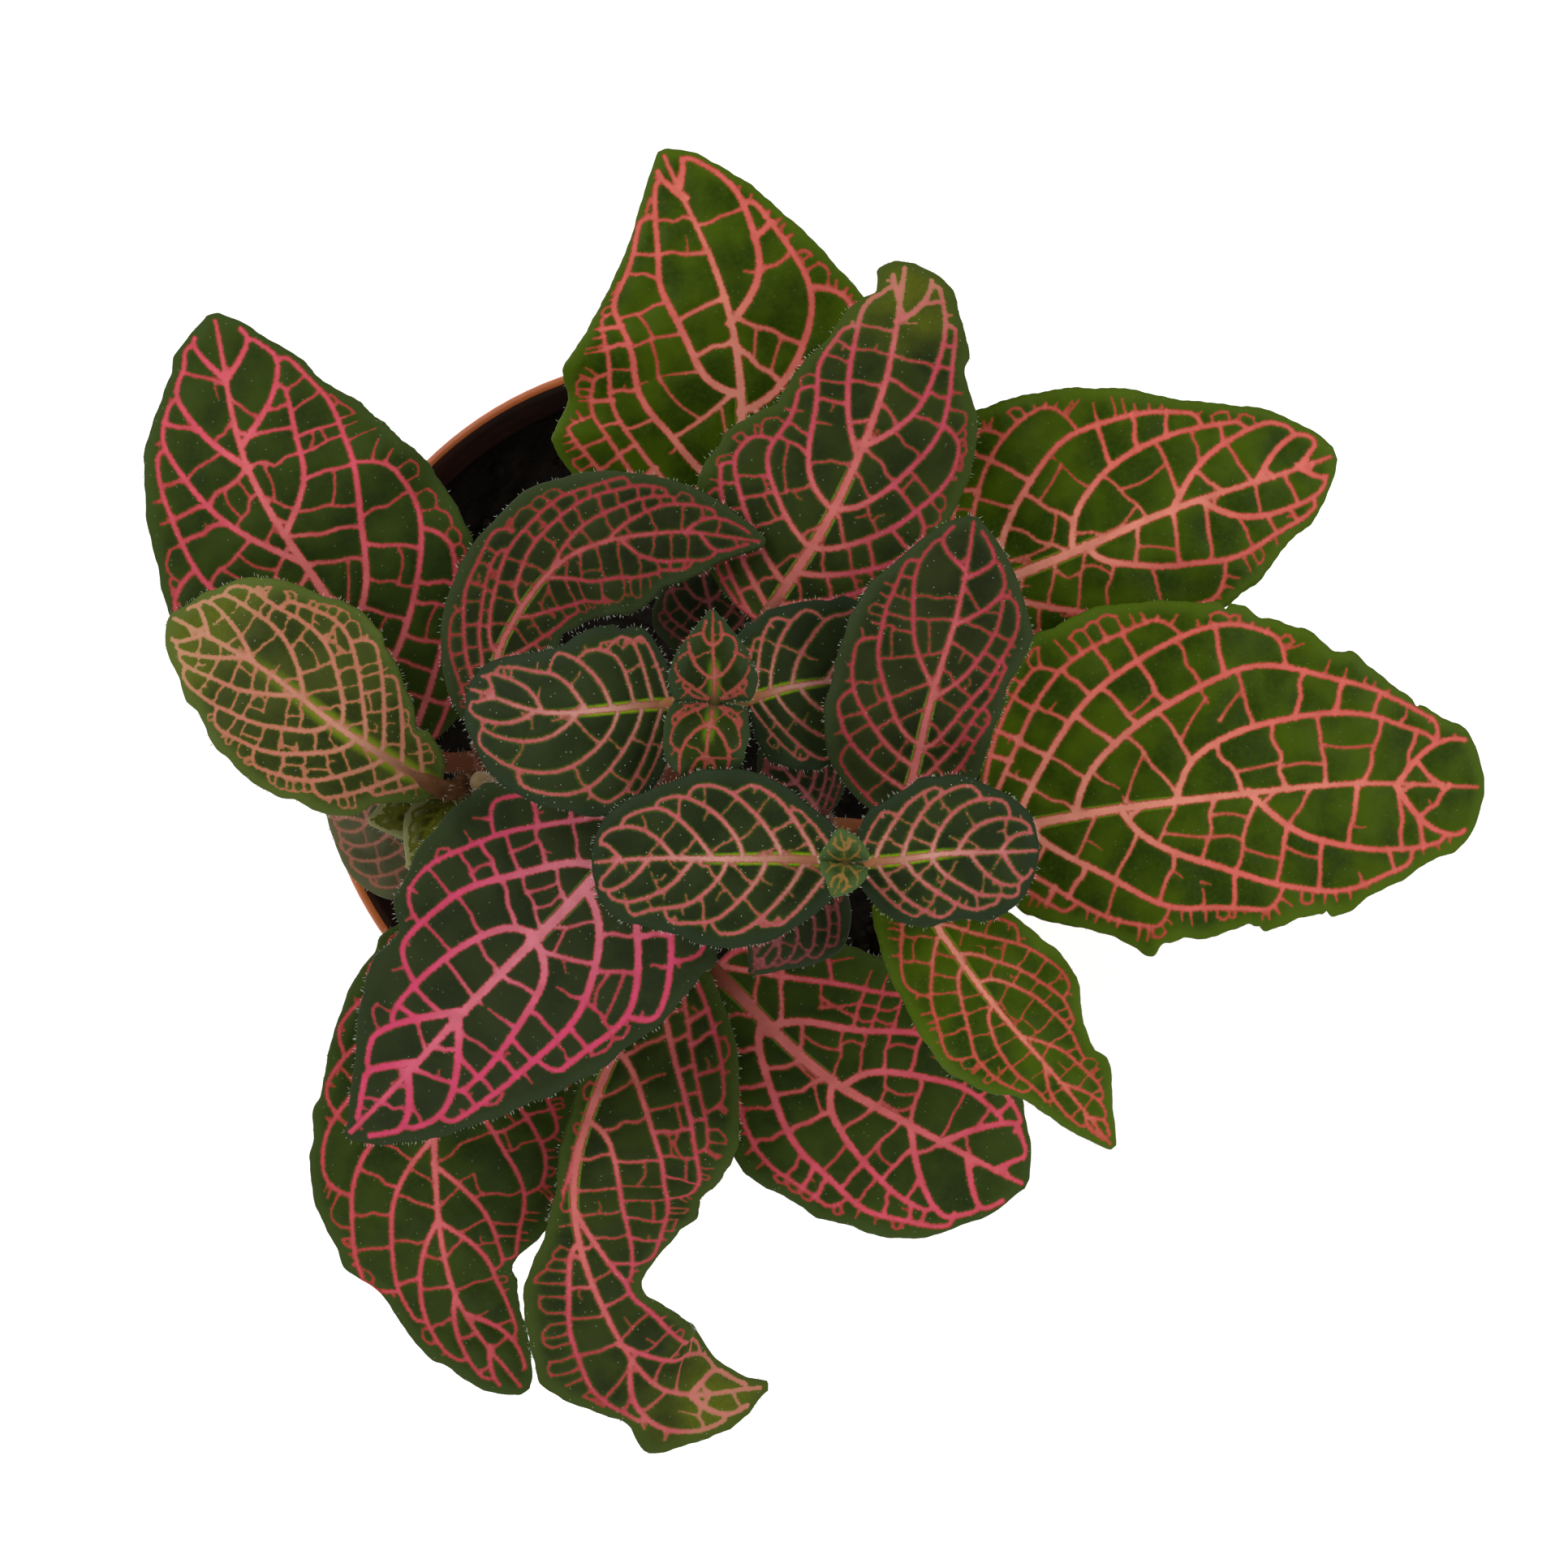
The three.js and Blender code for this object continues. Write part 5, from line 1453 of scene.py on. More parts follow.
class LeafSkin:
    """The skin of every leaf: net of veins, speckled panels, rim and paler underside."""

    COLOURS = (
        "Blade Dark", "Blade Light", "Midrib", "Vein", "Vein Edge", "Halo", "Rim", "Stalk", "Underside",
    )
    VALUES = {
        "Halo Reach": 0.5, "Halo Length": 0.7, "Stalk Reach": 0.2,
        "Turned": 1.5, "Speck": 0.5, "Roughness": 0.5,
    }

    def __init__(self) -> None:
        """Starts the group with what its parts share."""
        inputs = {**dict.fromkeys(self.COLOURS, GREY), **self.VALUES}
        s, source, self.put = new_group("leaf_skin", inputs, EFFECT_OUTPUTS)
        self.s, self.given, self.place = s, source.outputs, s.place()
        self.jitter = s.less(s.noise(self.place, 0.4, 4.0), 0.5)
        self.depth = s.plus(s.value("vein_depth"), s.times(self.jitter, 0.42))
        self.mottle = s.noise(self.place, 0.5)
        patchy = s.plus(s.value("along"), s.times(s.less(s.noise(self.place, 5.0), 0.5), 0.3))
        self.aged = s.step(s.less(patchy, self.given["Turned"]), 0.0, 0.22)

    def veins(self) -> bpy.types.NodeSocket:
        """Colours the veins: brown by the stalk, pale midrib, pinker outward, darker edge.

        Returns:
            The colour.
        """
        s, given = self.s, self.given
        outward = s.plus(s.times(s.value("across"), 0.75), s.times(s.value("along"), 0.6))
        tint = s.mix(s.step(outward, 0.12, 0.75), given["Midrib"], given["Vein"])
        near_stalk = s.fall(s.value("along"), 0.0, given["Stalk Reach"])
        on_rib = s.fall(s.value("rib_gap"), -0.2, 0.2)
        tint = s.mix(s.times(near_stalk, on_rib), tint, given["Stalk"])
        cloud = s.step(s.noise(self.place, 2.2, 2.0), 0.3, 0.8)
        tint = s.mix(cloud, tint, s.mix(0.3, tint, given["Vein Edge"]))
        size = s.step(s.value("vein_size"), 0.14, 0.5)
        thin = s.mix(size, s.mix(0.6, tint, given["Vein Edge"]), tint)
        vein = s.mix(s.step(self.depth, 0.0, 0.3), given["Vein Edge"], thin)
        return s.mix(s.times(self.aged, 0.4), vein, PALE_VEIN)

    def panels(self) -> bpy.types.NodeSocket:
        """Colours what lies between the veins: cloudy green with a halo by the midrib and a rim.

        Returns:
            The colour.
        """
        s, given = self.s, self.given
        light = given["Blade Light"]
        panel = s.mix(s.step(s.noise(self.place, 6.0, 4.0), 0.3, 0.7), given["Blade Dark"], light)
        panel = s.mix(s.times(self.aged, 0.5), panel, YELLOW_GREEN)
        panel = s.mix(s.times(s.step(self.mottle, 0.3, 0.75), 0.3), panel, light)
        panel = s.mix(s.times(s.step(self.depth, -0.28, -0.05), 0.12), panel, given["Halo"])
        ragged = s.plus(s.value("rib_gap"), s.times(self.jitter, 0.3))
        near_rib = s.fall(ragged, 0.0, given["Halo Reach"])
        inner = s.fall(s.value("along"), 0.35, given["Halo Length"])
        panel = s.mix(s.times(near_rib, inner), panel, given["Halo"])
        return s.mix(s.times(s.fall(s.value("rim"), 0.2, 2.2), 0.75), panel, given["Rim"])

    def build(self) -> bpy.types.NodeTree:
        """Puts veins, panels, specks and the underside together.

        Returns:
            The node group.
        """
        s, given = self.s, self.given
        is_vein = s.step(self.depth, -0.05, 0.07)
        color = s.mix(is_vein, self.panels(), self.veins())
        dots = s.texture("ShaderNodeTexVoronoi", self.place, 0.62)
        dot = s.fall(dots.outputs["Distance"], 0.05, 0.13)
        chosen = s.node("ShaderNodeSeparateColor")
        s.feed(chosen.inputs[0], dots.outputs["Color"])
        rare = s.math("GREATER_THAN", chosen.outputs[0], 0.62)
        color = s.mix(s.times(s.times(dot, rare), given["Speck"]), color, PALE_SPECK)
        back = s.mix(s.times(is_vein, 0.45), given["Underside"], given["Vein"])
        s.feed(self.put.inputs["Color"], s.mix(s.step(s.value("top"), 0.2, 0.8), back, color))
        uneven = s.times(s.less(self.mottle, 0.5), 0.18)
        s.feed(self.put.inputs["Roughness"], s.plus(given["Roughness"], uneven))
        skin = s.texture("ShaderNodeTexVoronoi", self.place, 0.24)
        relief = s.plus(s.times(skin.outputs["Distance"], 0.5), s.times(dot, 0.35))
        s.feed(self.put.inputs["Height"], relief)
        return s.tree


def uneven_matter_group() -> bpy.types.NodeTree:
    """Builds uneven matter in two tones with fine grain, for soil, grit, stems and pot.

    Returns:
        The node group.
    """
    inputs = dict.fromkeys(("Dark", "Light", "Dust"), GREY)
    inputs |= {"Dust Share": 0.3, "Roughness": 0.8, "Fine Share": 0.4}
    s, source, put = new_group("uneven_matter", inputs, EFFECT_OUTPUTS)
    given = source.outputs
    place = s.place()
    broad, fine = s.noise(place, 7.0, 5.0), s.noise(place, 0.7, 4.0)
    color = s.mix(s.step(broad, 0.3, 0.7), given["Dark"], given["Light"])
    color = s.mix(s.times(s.step(fine, 0.35, 0.75), given["Fine Share"]), color, given["Light"])
    dust = s.times(s.step(s.noise(place, 2.0, 5.0), 0.55, 0.8), given["Dust Share"])
    s.feed(put.inputs["Color"], s.mix(dust, color, given["Dust"]))
    s.feed(put.inputs["Roughness"], s.plus(given["Roughness"], s.times(s.less(fine, 0.5), 0.25)))
    s.feed(put.inputs["Height"], s.plus(broad, s.times(fine, 0.6)))
    return s.tree


def dress(
    name: str, group: bpy.types.NodeTree, values: dict, bump: float, **shader: object
) -> bpy.types.Material:
    """A material of one shader fed by one effect group.

    Args:
        name: The material's name.
        group: The effect group, with Color, Roughness and Height outputs.
        values: The group's input values by name, with colours as sRGB hex.
        bump: Height of its fine relief in mm.
        shader: Constant values of the shader's own sockets, with _ for a space.

    Returns:
        The material.
    """
    material = bpy.data.materials.new(name)
    material.use_nodes = True
    s = Shading(material.node_tree)
    surface = material.node_tree.nodes["Principled BSDF"]
    effect = s.node("ShaderNodeGroup", node_tree=group)
    for title, value in values.items():
        effect.inputs[title].default_value = linear(value) if isinstance(value, str) else value
    s.feed(surface.inputs["Base Color"], effect.outputs["Color"])
    s.feed(surface.inputs["Roughness"], effect.outputs["Roughness"])
    relief = s.node("ShaderNodeBump")
    relief.inputs["Distance"].default_value = bump * MM
    s.feed(relief.inputs["Height"], effect.outputs["Height"])
    s.feed(surface.inputs["Normal"], relief.outputs["Normal"])
    for title, value in shader.items():
        surface.inputs[title.replace("_", " ")].default_value = value
    return material


@dataclass(frozen=True)
class MatterFinish:
    """Two tones of uneven matter and its dust, as sRGB hex, and how its surface behaves."""

    name: str
    dark: str
    light: str
    dust: str
    dust_share: float
    roughness: float
    fine_share: float
    relief_mm: float
    specular: float = 0.5
    sheen: float = 0.0


POT_PLASTIC = MatterFinish(
    "moulded_pot_plastic", "#98490F", "#A4531A", "#8A4418",
    dust_share=0.15, roughness=0.5, fine_share=0.3, relief_mm=0.05, specular=0.45,
)
# The pot's inside in painted shade: near-black brown with darker mottling, standing in for the shade within
# the wall
POT_WALL_PAINTED_SHADE = MatterFinish(
    "pot_wall_painted_shade", "#1C0C06", "#32160A", "#0E0806",
    dust_share=0.7, roughness=0.75, fine_share=0.4, relief_mm=0.05, specular=0.2,
)
DAMP_PEAT = MatterFinish(
    "damp_peat", "#0B0907", "#1A1511", "#30271E",
    dust_share=0.35, roughness=0.9, fine_share=0.6, relief_mm=0.5, specular=0.15,
)
PALE_GRIT = MatterFinish(
    "pale_grit", "#6E685C", "#98927F", "#3E362C",
    dust_share=0.6, roughness=0.85, fine_share=0.4, relief_mm=0.15,
)
STEM_BARK = MatterFinish(
    "young_stem_bark", "#6B5A2C", "#8C6A44", "#A9986A",
    dust_share=0.35, roughness=0.65, fine_share=0.5, relief_mm=0.12, sheen=0.3,
)
PALE_HAIR = MatterFinish(
    "pale_hair", "#B9BCA8", "#DADCCB", "#C8CBB8",
    dust_share=0.2, roughness=0.6, fine_share=0.3, relief_mm=0.01,
)


class Wardrobe:
    """Every finish of the plant and its pot, made once and shared."""

    LEAF_RELIEF = 0.04
    LEAF_SPECULAR = 0.05
    SHEEN_ROUGHNESS = 0.4

    def __init__(self) -> None:
        """Builds the effect groups and the plain materials."""
        self.skin = LeafSkin().build()
        self.matter = uneven_matter_group()
        self.leaves: dict[Tone, bpy.types.Material] = {}
        # The pot's inside wears the painted shade of its wall
        self.pot, self.pot_inside_painted_shade = self.uneven(POT_PLASTIC), self.uneven(POT_WALL_PAINTED_SHADE)
        self.soil, self.grit = self.uneven(DAMP_PEAT), self.uneven(PALE_GRIT)
        self.stem, self.hair = self.uneven(STEM_BARK), self.uneven(PALE_HAIR)

    def uneven(self, finish: MatterFinish) -> bpy.types.Material:
        """Makes a material of uneven matter.

        Args:
            finish: What it looks like.

        Returns:
            The material.
        """
        values = {
            "Dark": finish.dark, "Light": finish.light, "Dust": finish.dust,
            "Dust Share": finish.dust_share, "Roughness": finish.roughness, "Fine Share": finish.fine_share,
        }
        return dress(
            finish.name, self.matter, values, finish.relief_mm,
            Specular_IOR_Level=finish.specular, Sheen_Weight=finish.sheen,
        )

    def leaf(self, tone: Tone) -> bpy.types.Material:
        """The leaf skin in one tone.

        Args:
            tone: Which one.

        Returns:
            The material, the same one each time.
        """
        if tone not in self.leaves:
            finish = FINISHES[tone]
            titles = (*LeafSkin.COLOURS, *LeafSkin.VALUES)
            values = {title: getattr(finish, title.lower().replace(" ", "_")) for title in titles}
            self.leaves[tone] = dress(
                f"leaf_{tone.value}", self.skin, values, self.LEAF_RELIEF,
                Specular_IOR_Level=self.LEAF_SPECULAR, Sheen_Weight=finish.sheen,
                Sheen_Roughness=self.SHEEN_ROUGHNESS,
            )
        return self.leaves[tone]


# How thick the hairs stand along a blade's edge, by tone, and along any other one
EDGE_HAIRS = {Tone.OLIVE: 0.25, Tone.SHADE: 0.3, Tone.ROSE: 0.7}
OTHER_EDGE_HAIRS = 1.3
ROW_STEP = 0.866  # from row to row of an even triangular grid, against its spacing


@dataclass
class Leaf:
    """One leaf: its blade with a net of veins, its stalk and midrib, and its fine hairs, in mm."""

    plan: LeafPlan
    seed: int
    rod_sides: int = 10
    puff: float = 0.22
    puff_reach: float = 0.7
    sway: float = 0.1
    edge_out: float = 0.12
    hair_radius: float = 0.03
    hair_density: float = 9.0
    edge_hair_density: float = 1.6
    edge_hair_radius: float = 0.035
    ripples: tuple = (3.1, 1.3)
    rib_taper: float = 0.64
    edge_room: float = 0.3
    deep_inside: float = 9.0
    batch: int = 2000

    def __post_init__(self) -> None:
        """Gives the blade its form and grows the veins."""
        self.form = BladeForm(self.plan)
        self.rng = np.random.default_rng(self.seed)
        self.net = VeinNet(self.form, self.seed)
        self.field = VeinField(self.net.veins)
        self.sheets = MeshSheets()

    def outline(self) -> np.ndarray:
        """Draws the blade's edge laid flat: up the right side, then back down the left.

        Returns:
            Its points.
        """
        form, plan, rng = self.form, self.plan, self.rng
        loops = []
        for side in (1, -1):
            t = np.linspace(0, 1, 400)
            reach = form.edge(t, side)
            along = t * form.length
            fade = ease(0.3, 3.5, reach)
            ripple = sum(
                rng.uniform(0.5, 1) * np.sin(along * 2 * np.pi / wave + rng.uniform(0, 6)) / (k + 1)
                for k, wave in enumerate((form.length / max(plan.pairs, 2), *self.ripples))
            )
            reach = reach + fade * ripple * (0.06 + 0.004 * form.widest)
            for _ in range(int(plan.ragged * 5)):
                at = rng.uniform(0.2, 0.95) * form.length
                deep, wide = rng.uniform(0.3, 1.0), rng.uniform(0.4, 1.1)
                reach -= fade * deep * np.maximum(0, 1 - np.abs(along - at) / wide)
            loops.append(np.stack([along, side * reach], axis=1))
        loop = np.concatenate([loops[0], loops[1][::-1], loops[0][:1]])
        return even_path(loop, EDGE_SPACING)[:-1]

    def fill_points(self, outline: np.ndarray, spacing: float, taken: set, cell: float) -> np.ndarray:
        """Even points inside the outline.

        Args:
            outline: The flat edge.
            spacing: Distance between them.
            taken: Cells that they stay out of.
            cell: Size of those cells.

        Returns:
            The points that are left.
        """
        low, high = outline.min(axis=0), outline.max(axis=0)
        rows = np.arange(low[1], high[1], spacing * ROW_STEP)
        columns = np.arange(low[0], high[0], spacing)
        grid = np.stack(np.meshgrid(columns, rows), axis=-1)
        grid[1::2, :, 0] += spacing / 2
        grid = grid.reshape(-1, 2)
        t = grid[:, 0] / self.form.length
        grid = grid[np.abs(grid[:, 1]) < self.form.edge_both(t, grid[:, 1]) + self.edge_room]
        return grid[np.array([key not in taken for key in cell_keys(grid, cell)], dtype=bool)]

    def laid_out(self, outline: np.ndarray, inside: np.ndarray) -> tuple[np.ndarray, np.ndarray, np.ndarray]:
        """Triangles over the flat blade.

        Args:
            outline: The flat edge.
            inside: Points within it.

        Returns:
            The points, the triangles and the index of each edge point.
        """
        places = [Vector(place) for place in np.concatenate([outline, inside])]
        loop = [list(range(len(outline)))]
        made = delaunay_2d_cdt(places, [], loop, 1, 1e-5)
        points = np.array([tuple(place) for place in made[0]])
        triangles = np.array(made[2])
        found = np.zeros(len(outline), dtype=int)
        for index, sources in enumerate(made[3]):
            for source in sources:
                if source < len(outline):
                    found[source] = index
        return points, triangles, found

    def values_at(self, places: np.ndarray, outline: np.ndarray) -> dict[str, np.ndarray]:
        """Measures the surface values at flat places of the blade.

        Args:
            places: Distance along and offset of each one.
            outline: The flat edge.

        Returns:
            Each value by name.
        """
        depth, size = self.field.measure(places)
        spine = self.net.spine
        rib = np.interp(places[:, 0], spine[:, 0], spine[:, 1])
        share = places[:, 0] / self.form.length
        radius = self.net.main * (1 - self.rib_taper * np.clip(share, 0, 1))
        rim = np.full(len(places), self.deep_inside)
        for start in range(0, len(places), self.batch):
            part = slice(start, start + self.batch)
            gaps = places[part, None, :] - outline[None, ::2, :]
            rim[part] = np.hypot(gaps[..., 0], gaps[..., 1]).min(axis=1)
        return {
            "vein_depth": depth,
            "vein_size": size,
            "rib_gap": np.abs(places[:, 1] - rib) - radius,
            "rim": rim,
            "along": share,
            "across": np.abs(places[:, 1]) / self.form.reach_both(share, places[:, 1]),
        }

    def vein_points(self, outline: np.ndarray) -> np.ndarray:
        """Picks points along the veins, one to a cell and clear of the edge.

        Args:
            outline: The flat edge.

        Returns:
            The points.
        """
        lines = np.concatenate([vein.path for vein in self.net.veins])
        cell = TOP_SPACING / 2
        room = self.form.edge_both(lines[:, 0] / self.form.length, lines[:, 1])
        fits = np.abs(lines[:, 1]) < room - self.edge_room
        seen, kept = taken_cells(outline, cell), []
        for index, key in enumerate(cell_keys(lines, cell)):
            if fits[index] and key not in seen:
                seen.add(key)
                kept.append(index)
        return lines[kept]

    def face(self, outline: np.ndarray, lines: np.ndarray, spacing: float) -> tuple:
        """Lays one face of the blade out flat and measures it.

        Args:
            outline: The flat edge.
            lines: Points that it keeps.
            spacing: Distance between the other ones.

        Returns:
            The points, the triangles, the index of each edge point and the surface values.
        """
        cell = spacing / 2
        taken = taken_cells(outline, cell) | taken_cells(lines, cell)
        inside = self.fill_points(outline, spacing, taken, cell)
        places, faces, edge = self.laid_out(outline, np.concatenate([lines, inside]))
        return places, faces, edge, self.values_at(places, outline)

    def lifted(self, places: np.ndarray, lift: np.ndarray) -> np.ndarray:
        """Carries flat places onto the bent sheet, each lifted so many mm off its middle."""
        share, offset = places[:, 0] / self.form.length, places[:, 1]
        return self.form.sheet(share, offset) + self.form.normal(share, offset) * lift[:, None]

    def blade(self) -> None:
        """Makes the upper and lower faces and the edge between them."""
        outline = self.outline()
        places, faces, top_edge, values = self.face(outline, self.vein_points(outline), TOP_SPACING)
        gap = np.maximum(-values["vein_depth"], 0)
        puff = self.puff * (1 - np.exp(-gap / self.puff_reach)) * ease(0.2, 1.6, values["rim"])
        sway = self.sway * np.sin(places[:, 0] * 0.7 + 1.3 * np.sin(places[:, 1] * 0.45))
        lift = BLADE_HALF + puff + sway * ease(0.5, 4, values["rim"])
        first = self.sheets.add(self.lifted(places, lift), faces[:, ::-1], top=1.0, **values)
        places, faces, low_edge, values = self.face(outline, np.zeros((0, 2)), UNDER_SPACING)
        lift = np.full(len(places), -BLADE_HALF)
        second = self.sheets.add(self.lifted(places, lift), faces, top=0.0, **values)
        self.edge(outline, top_edge + first, low_edge + second)

    def edge(self, outline: np.ndarray, upper: np.ndarray, lower: np.ndarray) -> None:
        """Closes the blade with a rounded edge, and stands hairs on it.

        Args:
            outline: The flat edge.
            upper: Index of each edge point on the upper face.
            lower: The same on the lower face.
        """
        form = self.form
        share, offset = outline[:, 0] / form.length, outline[:, 1]
        middle = form.sheet(share, offset)
        normals = form.normal(share, offset)
        out = unit(np.cross(np.roll(middle, -1, axis=0) - np.roll(middle, 1, axis=0), normals))
        values = self.values_at(outline, outline)
        values["rim"] = np.zeros(len(outline))
        this = np.arange(len(outline))
        after = (this + 1) % len(outline)
        mid = this + self.sheets.add(middle + out * self.edge_out, np.zeros((0, 3), int), top=0.8, **values)
        for above, below in ((upper, mid), (mid, lower)):
            self.sheets.join(np.stack([above[this], below[after], above[after]], axis=1))
            self.sheets.join(np.stack([above[this], below[this], below[after]], axis=1))
        self.edge_hairs(middle + out * 0.1, out, normals)

    def edge_hairs(self, roots: np.ndarray, out: np.ndarray, normals: np.ndarray) -> None:
        """Stands short pale hairs along the edge of a young leaf.

        Args:
            roots: Points along the edge.
            out: Which way is outward at each.
            normals: Which way is up.
        """
        dense = EDGE_HAIRS.get(self.plan.tone, OTHER_EDGE_HAIRS)
        count = int(len(roots) * EDGE_SPACING * dense * self.edge_hair_density)
        if count == 0:
            return
        rng = self.rng
        chosen = rng.integers(0, len(roots), count)
        ways = out[chosen] + normals[chosen] * rng.uniform(0, 1.2, (count, 1))
        ways = ways + rng.normal(0, 0.35, (count, 3))
        lengths = rng.uniform(0.25, 0.6, count)
        roots = roots[chosen] + rng.normal(0, 0.08, (count, 3))
        points, faces = hairs(roots, ways, lengths, self.edge_hair_radius)
        self.sheets.add(points, faces, look=1)

    def rod(self) -> None:
        """Makes the stalk, which runs on below the blade as the midrib."""
        plan, form = self.plan, self.form
        stem = STEMS[plan.stem]
        axis, heading = stem_at(stem, plan.node)
        end = np.array(plan.rib[0], float)
        outward = end - axis
        outward[2] = 0
        outward -= heading * float(outward @ heading)
        outward = unit(outward)
        start = axis + outward * (stem_radius(stem, plan.node) + 0.3)
        way = unit(smooth(form.rib, PATH_STEP) - smooth(form.rib, 0))
        pull = float(np.linalg.norm(end - start)) * STALK_PULL
        bends = [start, start + outward * pull, end - way * pull, end]
        f = np.linspace(0, 1, 12)[:-1, None]
        stalk = sum(
            weight * bend
            for weight, bend in zip(((1 - f) ** 3, 3 * f * (1 - f) ** 2, 3 * f * f * (1 - f), f**3), bends)
        )
        foot = axis + outward * stem_radius(stem, plan.node) * 0.4
        t = np.linspace(0, 0.93, 34)
        radius = plan.stalk * (1 - t) ** 0.8 * 0.85 + 0.16
        sink = ease(0, 0.12, t) * np.maximum(radius - 0.12, 0)
        rib_offset = np.interp(t * form.length, self.net.spine[:, 0], self.net.spine[:, 1])
        below = form.sheet(t, rib_offset) - form.normal(t, rib_offset) * sink[:, None]
        centres = np.concatenate([foot[None], stalk, below])
        radii = np.concatenate([np.full(len(stalk) + 1, plan.stalk), radius])
        radii[: len(stalk) + 1] *= 1 + 0.18 * np.exp(-np.arange(len(stalk) + 1) / 2.5)
        points, faces = tube(centres, radii, self.rod_sides)
        ring_share = np.concatenate([np.zeros(len(stalk) + 1), t])
        share = np.concatenate([np.repeat(ring_share, self.rod_sides), [0.0, 0.93]])
        values = {"vein_depth": 0.6, "vein_size": 1.0, "rib_gap": -1.0, "rim": 5.0, "top": 0.9}
        self.sheets.add(points, faces, along=share, **values)
        self.stalk_hairs(stalk)

    def stalk_hairs(self, centres: np.ndarray) -> None:
        """Stands fine hairs all round the stalk.

        Args:
            centres: Points of its middle.
        """
        rng = self.rng
        span = float(np.linalg.norm(np.diff(centres, axis=0), axis=1).sum())
        count = int(span * self.hair_density)
        at = rng.integers(0, len(centres), count)
        ways = unit(rng.normal(0, 1, (count, 3)))
        along = unit(np.gradient(centres, axis=0))[at]
        ways = unit(ways - along * (ways * along).sum(axis=1, keepdims=True))
        nudge = along * rng.uniform(-0.5, 0.5, (count, 1)) * span / len(centres)
        roots = centres[at] + nudge + ways * self.plan.stalk * 0.97
        ways = ways + rng.normal(0, 0.25, (count, 3))
        points, faces = hairs(roots, ways, rng.uniform(0.35, 0.8, count), self.hair_radius)
        self.sheets.add(points, faces, look=1)

    def build(self, wardrobe: Wardrobe) -> None:
        """Makes the piece and puts it in place of its node.

        Args:
            wardrobe: The finishes.
        """
        self.blade()
        self.rod()
        name = self.plan.name
        piece = self.sheets.build(f"{name}_blade", [wardrobe.leaf(self.plan.tone), wardrobe.hair])
        settle(piece, record_slot(name), name)


def stem_at(stem: StemPlan, height: float) -> tuple[np.ndarray, np.ndarray]:
    """Finds the middle of a stem at a height.

    Args:
        stem: The stem.
        height: The height in mm.

    Returns:
        The middle, and which way the stem runs there.
    """
    path = np.array(stem.path, float)
    t = np.linspace(0, 1, 2001)
    heights = smooth(path, t)[:, 2]
    share = float(np.interp(height, heights, t))
    heading = unit(smooth(path, share + PATH_STEP) - smooth(path, share - PATH_STEP))
    return smooth(path, share), heading


def stem_radius(stem: StemPlan, height: float) -> float:
    """Reckons a stem's radius: it thins upwards and swells where leaves stand.

    Args:
        stem: The stem.
        height: The height in mm.

    Returns:
        The radius in mm.
    """
    bottom, top = stem.path[0][2], stem.path[-1][2]
    share = (height - bottom) / (top - bottom)
    nearest = min(abs(plan.node - height) for plan in LEAVES if plan.stem == stem.name)
    swell = 1 + NODE_SWELL * math.exp(-((nearest / NODE_LENGTH) ** 2))
    return (stem.foot + (stem.top - stem.foot) * share) * swell


def record_slot(node: str) -> str:
    """Looks up the record's material slot of a node.

    Args:
        node: The node's name.

    Returns:
        The slot.
    """
    for subpart in frame["record"]["subparts"]:
        if subpart["node"] == node:
            return subpart["material_slot"]
    raise KeyError(node)


def settle(piece: bpy.types.Object, slot: str, *nodes: str) -> None:
    """Lets a piece ride on the plant's body and hides the nodes that it stands for.

    Args:
        piece: The piece.
        slot: Its material slot; not used.
        nodes: The nodes that it replaces, if any.
    """
    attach(piece, BODY)
    if nodes:
        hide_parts(*nodes)
    LOG.info("%s: %d faces", piece.name, len(piece.data.polygons))


def select_only(*pieces: bpy.types.Object) -> None:
    """Leaves these alone selected, so that the next operator acts on nothing else.

    Args:
        pieces: The pieces, the active one last.
    """
    if bpy.context.object and bpy.context.object.mode != "OBJECT":
        bpy.ops.object.mode_set(mode="OBJECT")
    bpy.ops.object.select_all(action="DESELECT")
    for piece in pieces:
        piece.select_set(True)
        bpy.context.view_layer.objects.active = piece


def wear(piece: bpy.types.Object, *materials: bpy.types.Material) -> None:
    """Gives a piece these materials and no other.

    Args:
        piece: The piece.
        materials: What it wears.
    """
    piece.data.materials.clear()
    for material in materials:
        piece.data.materials.append(material)


def drawn_up(name: str, sides: int, rings: list[tuple[float, float, float, float]]) -> bpy.types.Object:
    """Draws a round body up from a disc, ring by ring.

    Args:
        name: The piece's name.
        sides: How many sides it has.
        rings: Middle x, y, z and radius of each ring, in mm, from the first disc on.

    Returns:
        The closed body, with its place in its mesh.
    """
    select_only()
    x, y, z, radius = rings[0]
    bpy.ops.mesh.primitive_circle_add(
        vertices=sides, radius=radius * MM, fill_type="NGON", location=(x * MM, y * MM, z * MM)
    )
    piece = bpy.context.object
    piece.name = name
    bpy.ops.object.transform_apply(location=True, rotation=True, scale=True)
    bpy.ops.object.mode_set(mode="EDIT")
    bpy.ops.mesh.select_mode(type="FACE")
    bpy.ops.mesh.select_all(action="SELECT")
    for (x0, y0, z0, r0), (x1, y1, z1, r1) in zip(rings, rings[1:]):
        move = ((x1 - x0) * MM, (y1 - y0) * MM, (z1 - z0) * MM)
        bpy.ops.mesh.extrude_region_move(TRANSFORM_OT_translate={"value": move})
        size = r1 / r0
        bpy.ops.transform.resize(value=(size, size, 1), center_override=(x1 * MM, y1 * MM, z1 * MM))
    bpy.ops.mesh.select_all(action="SELECT")
    bpy.ops.mesh.normals_make_consistent(inside=False)
    bpy.ops.object.mode_set(mode="OBJECT")
    return piece


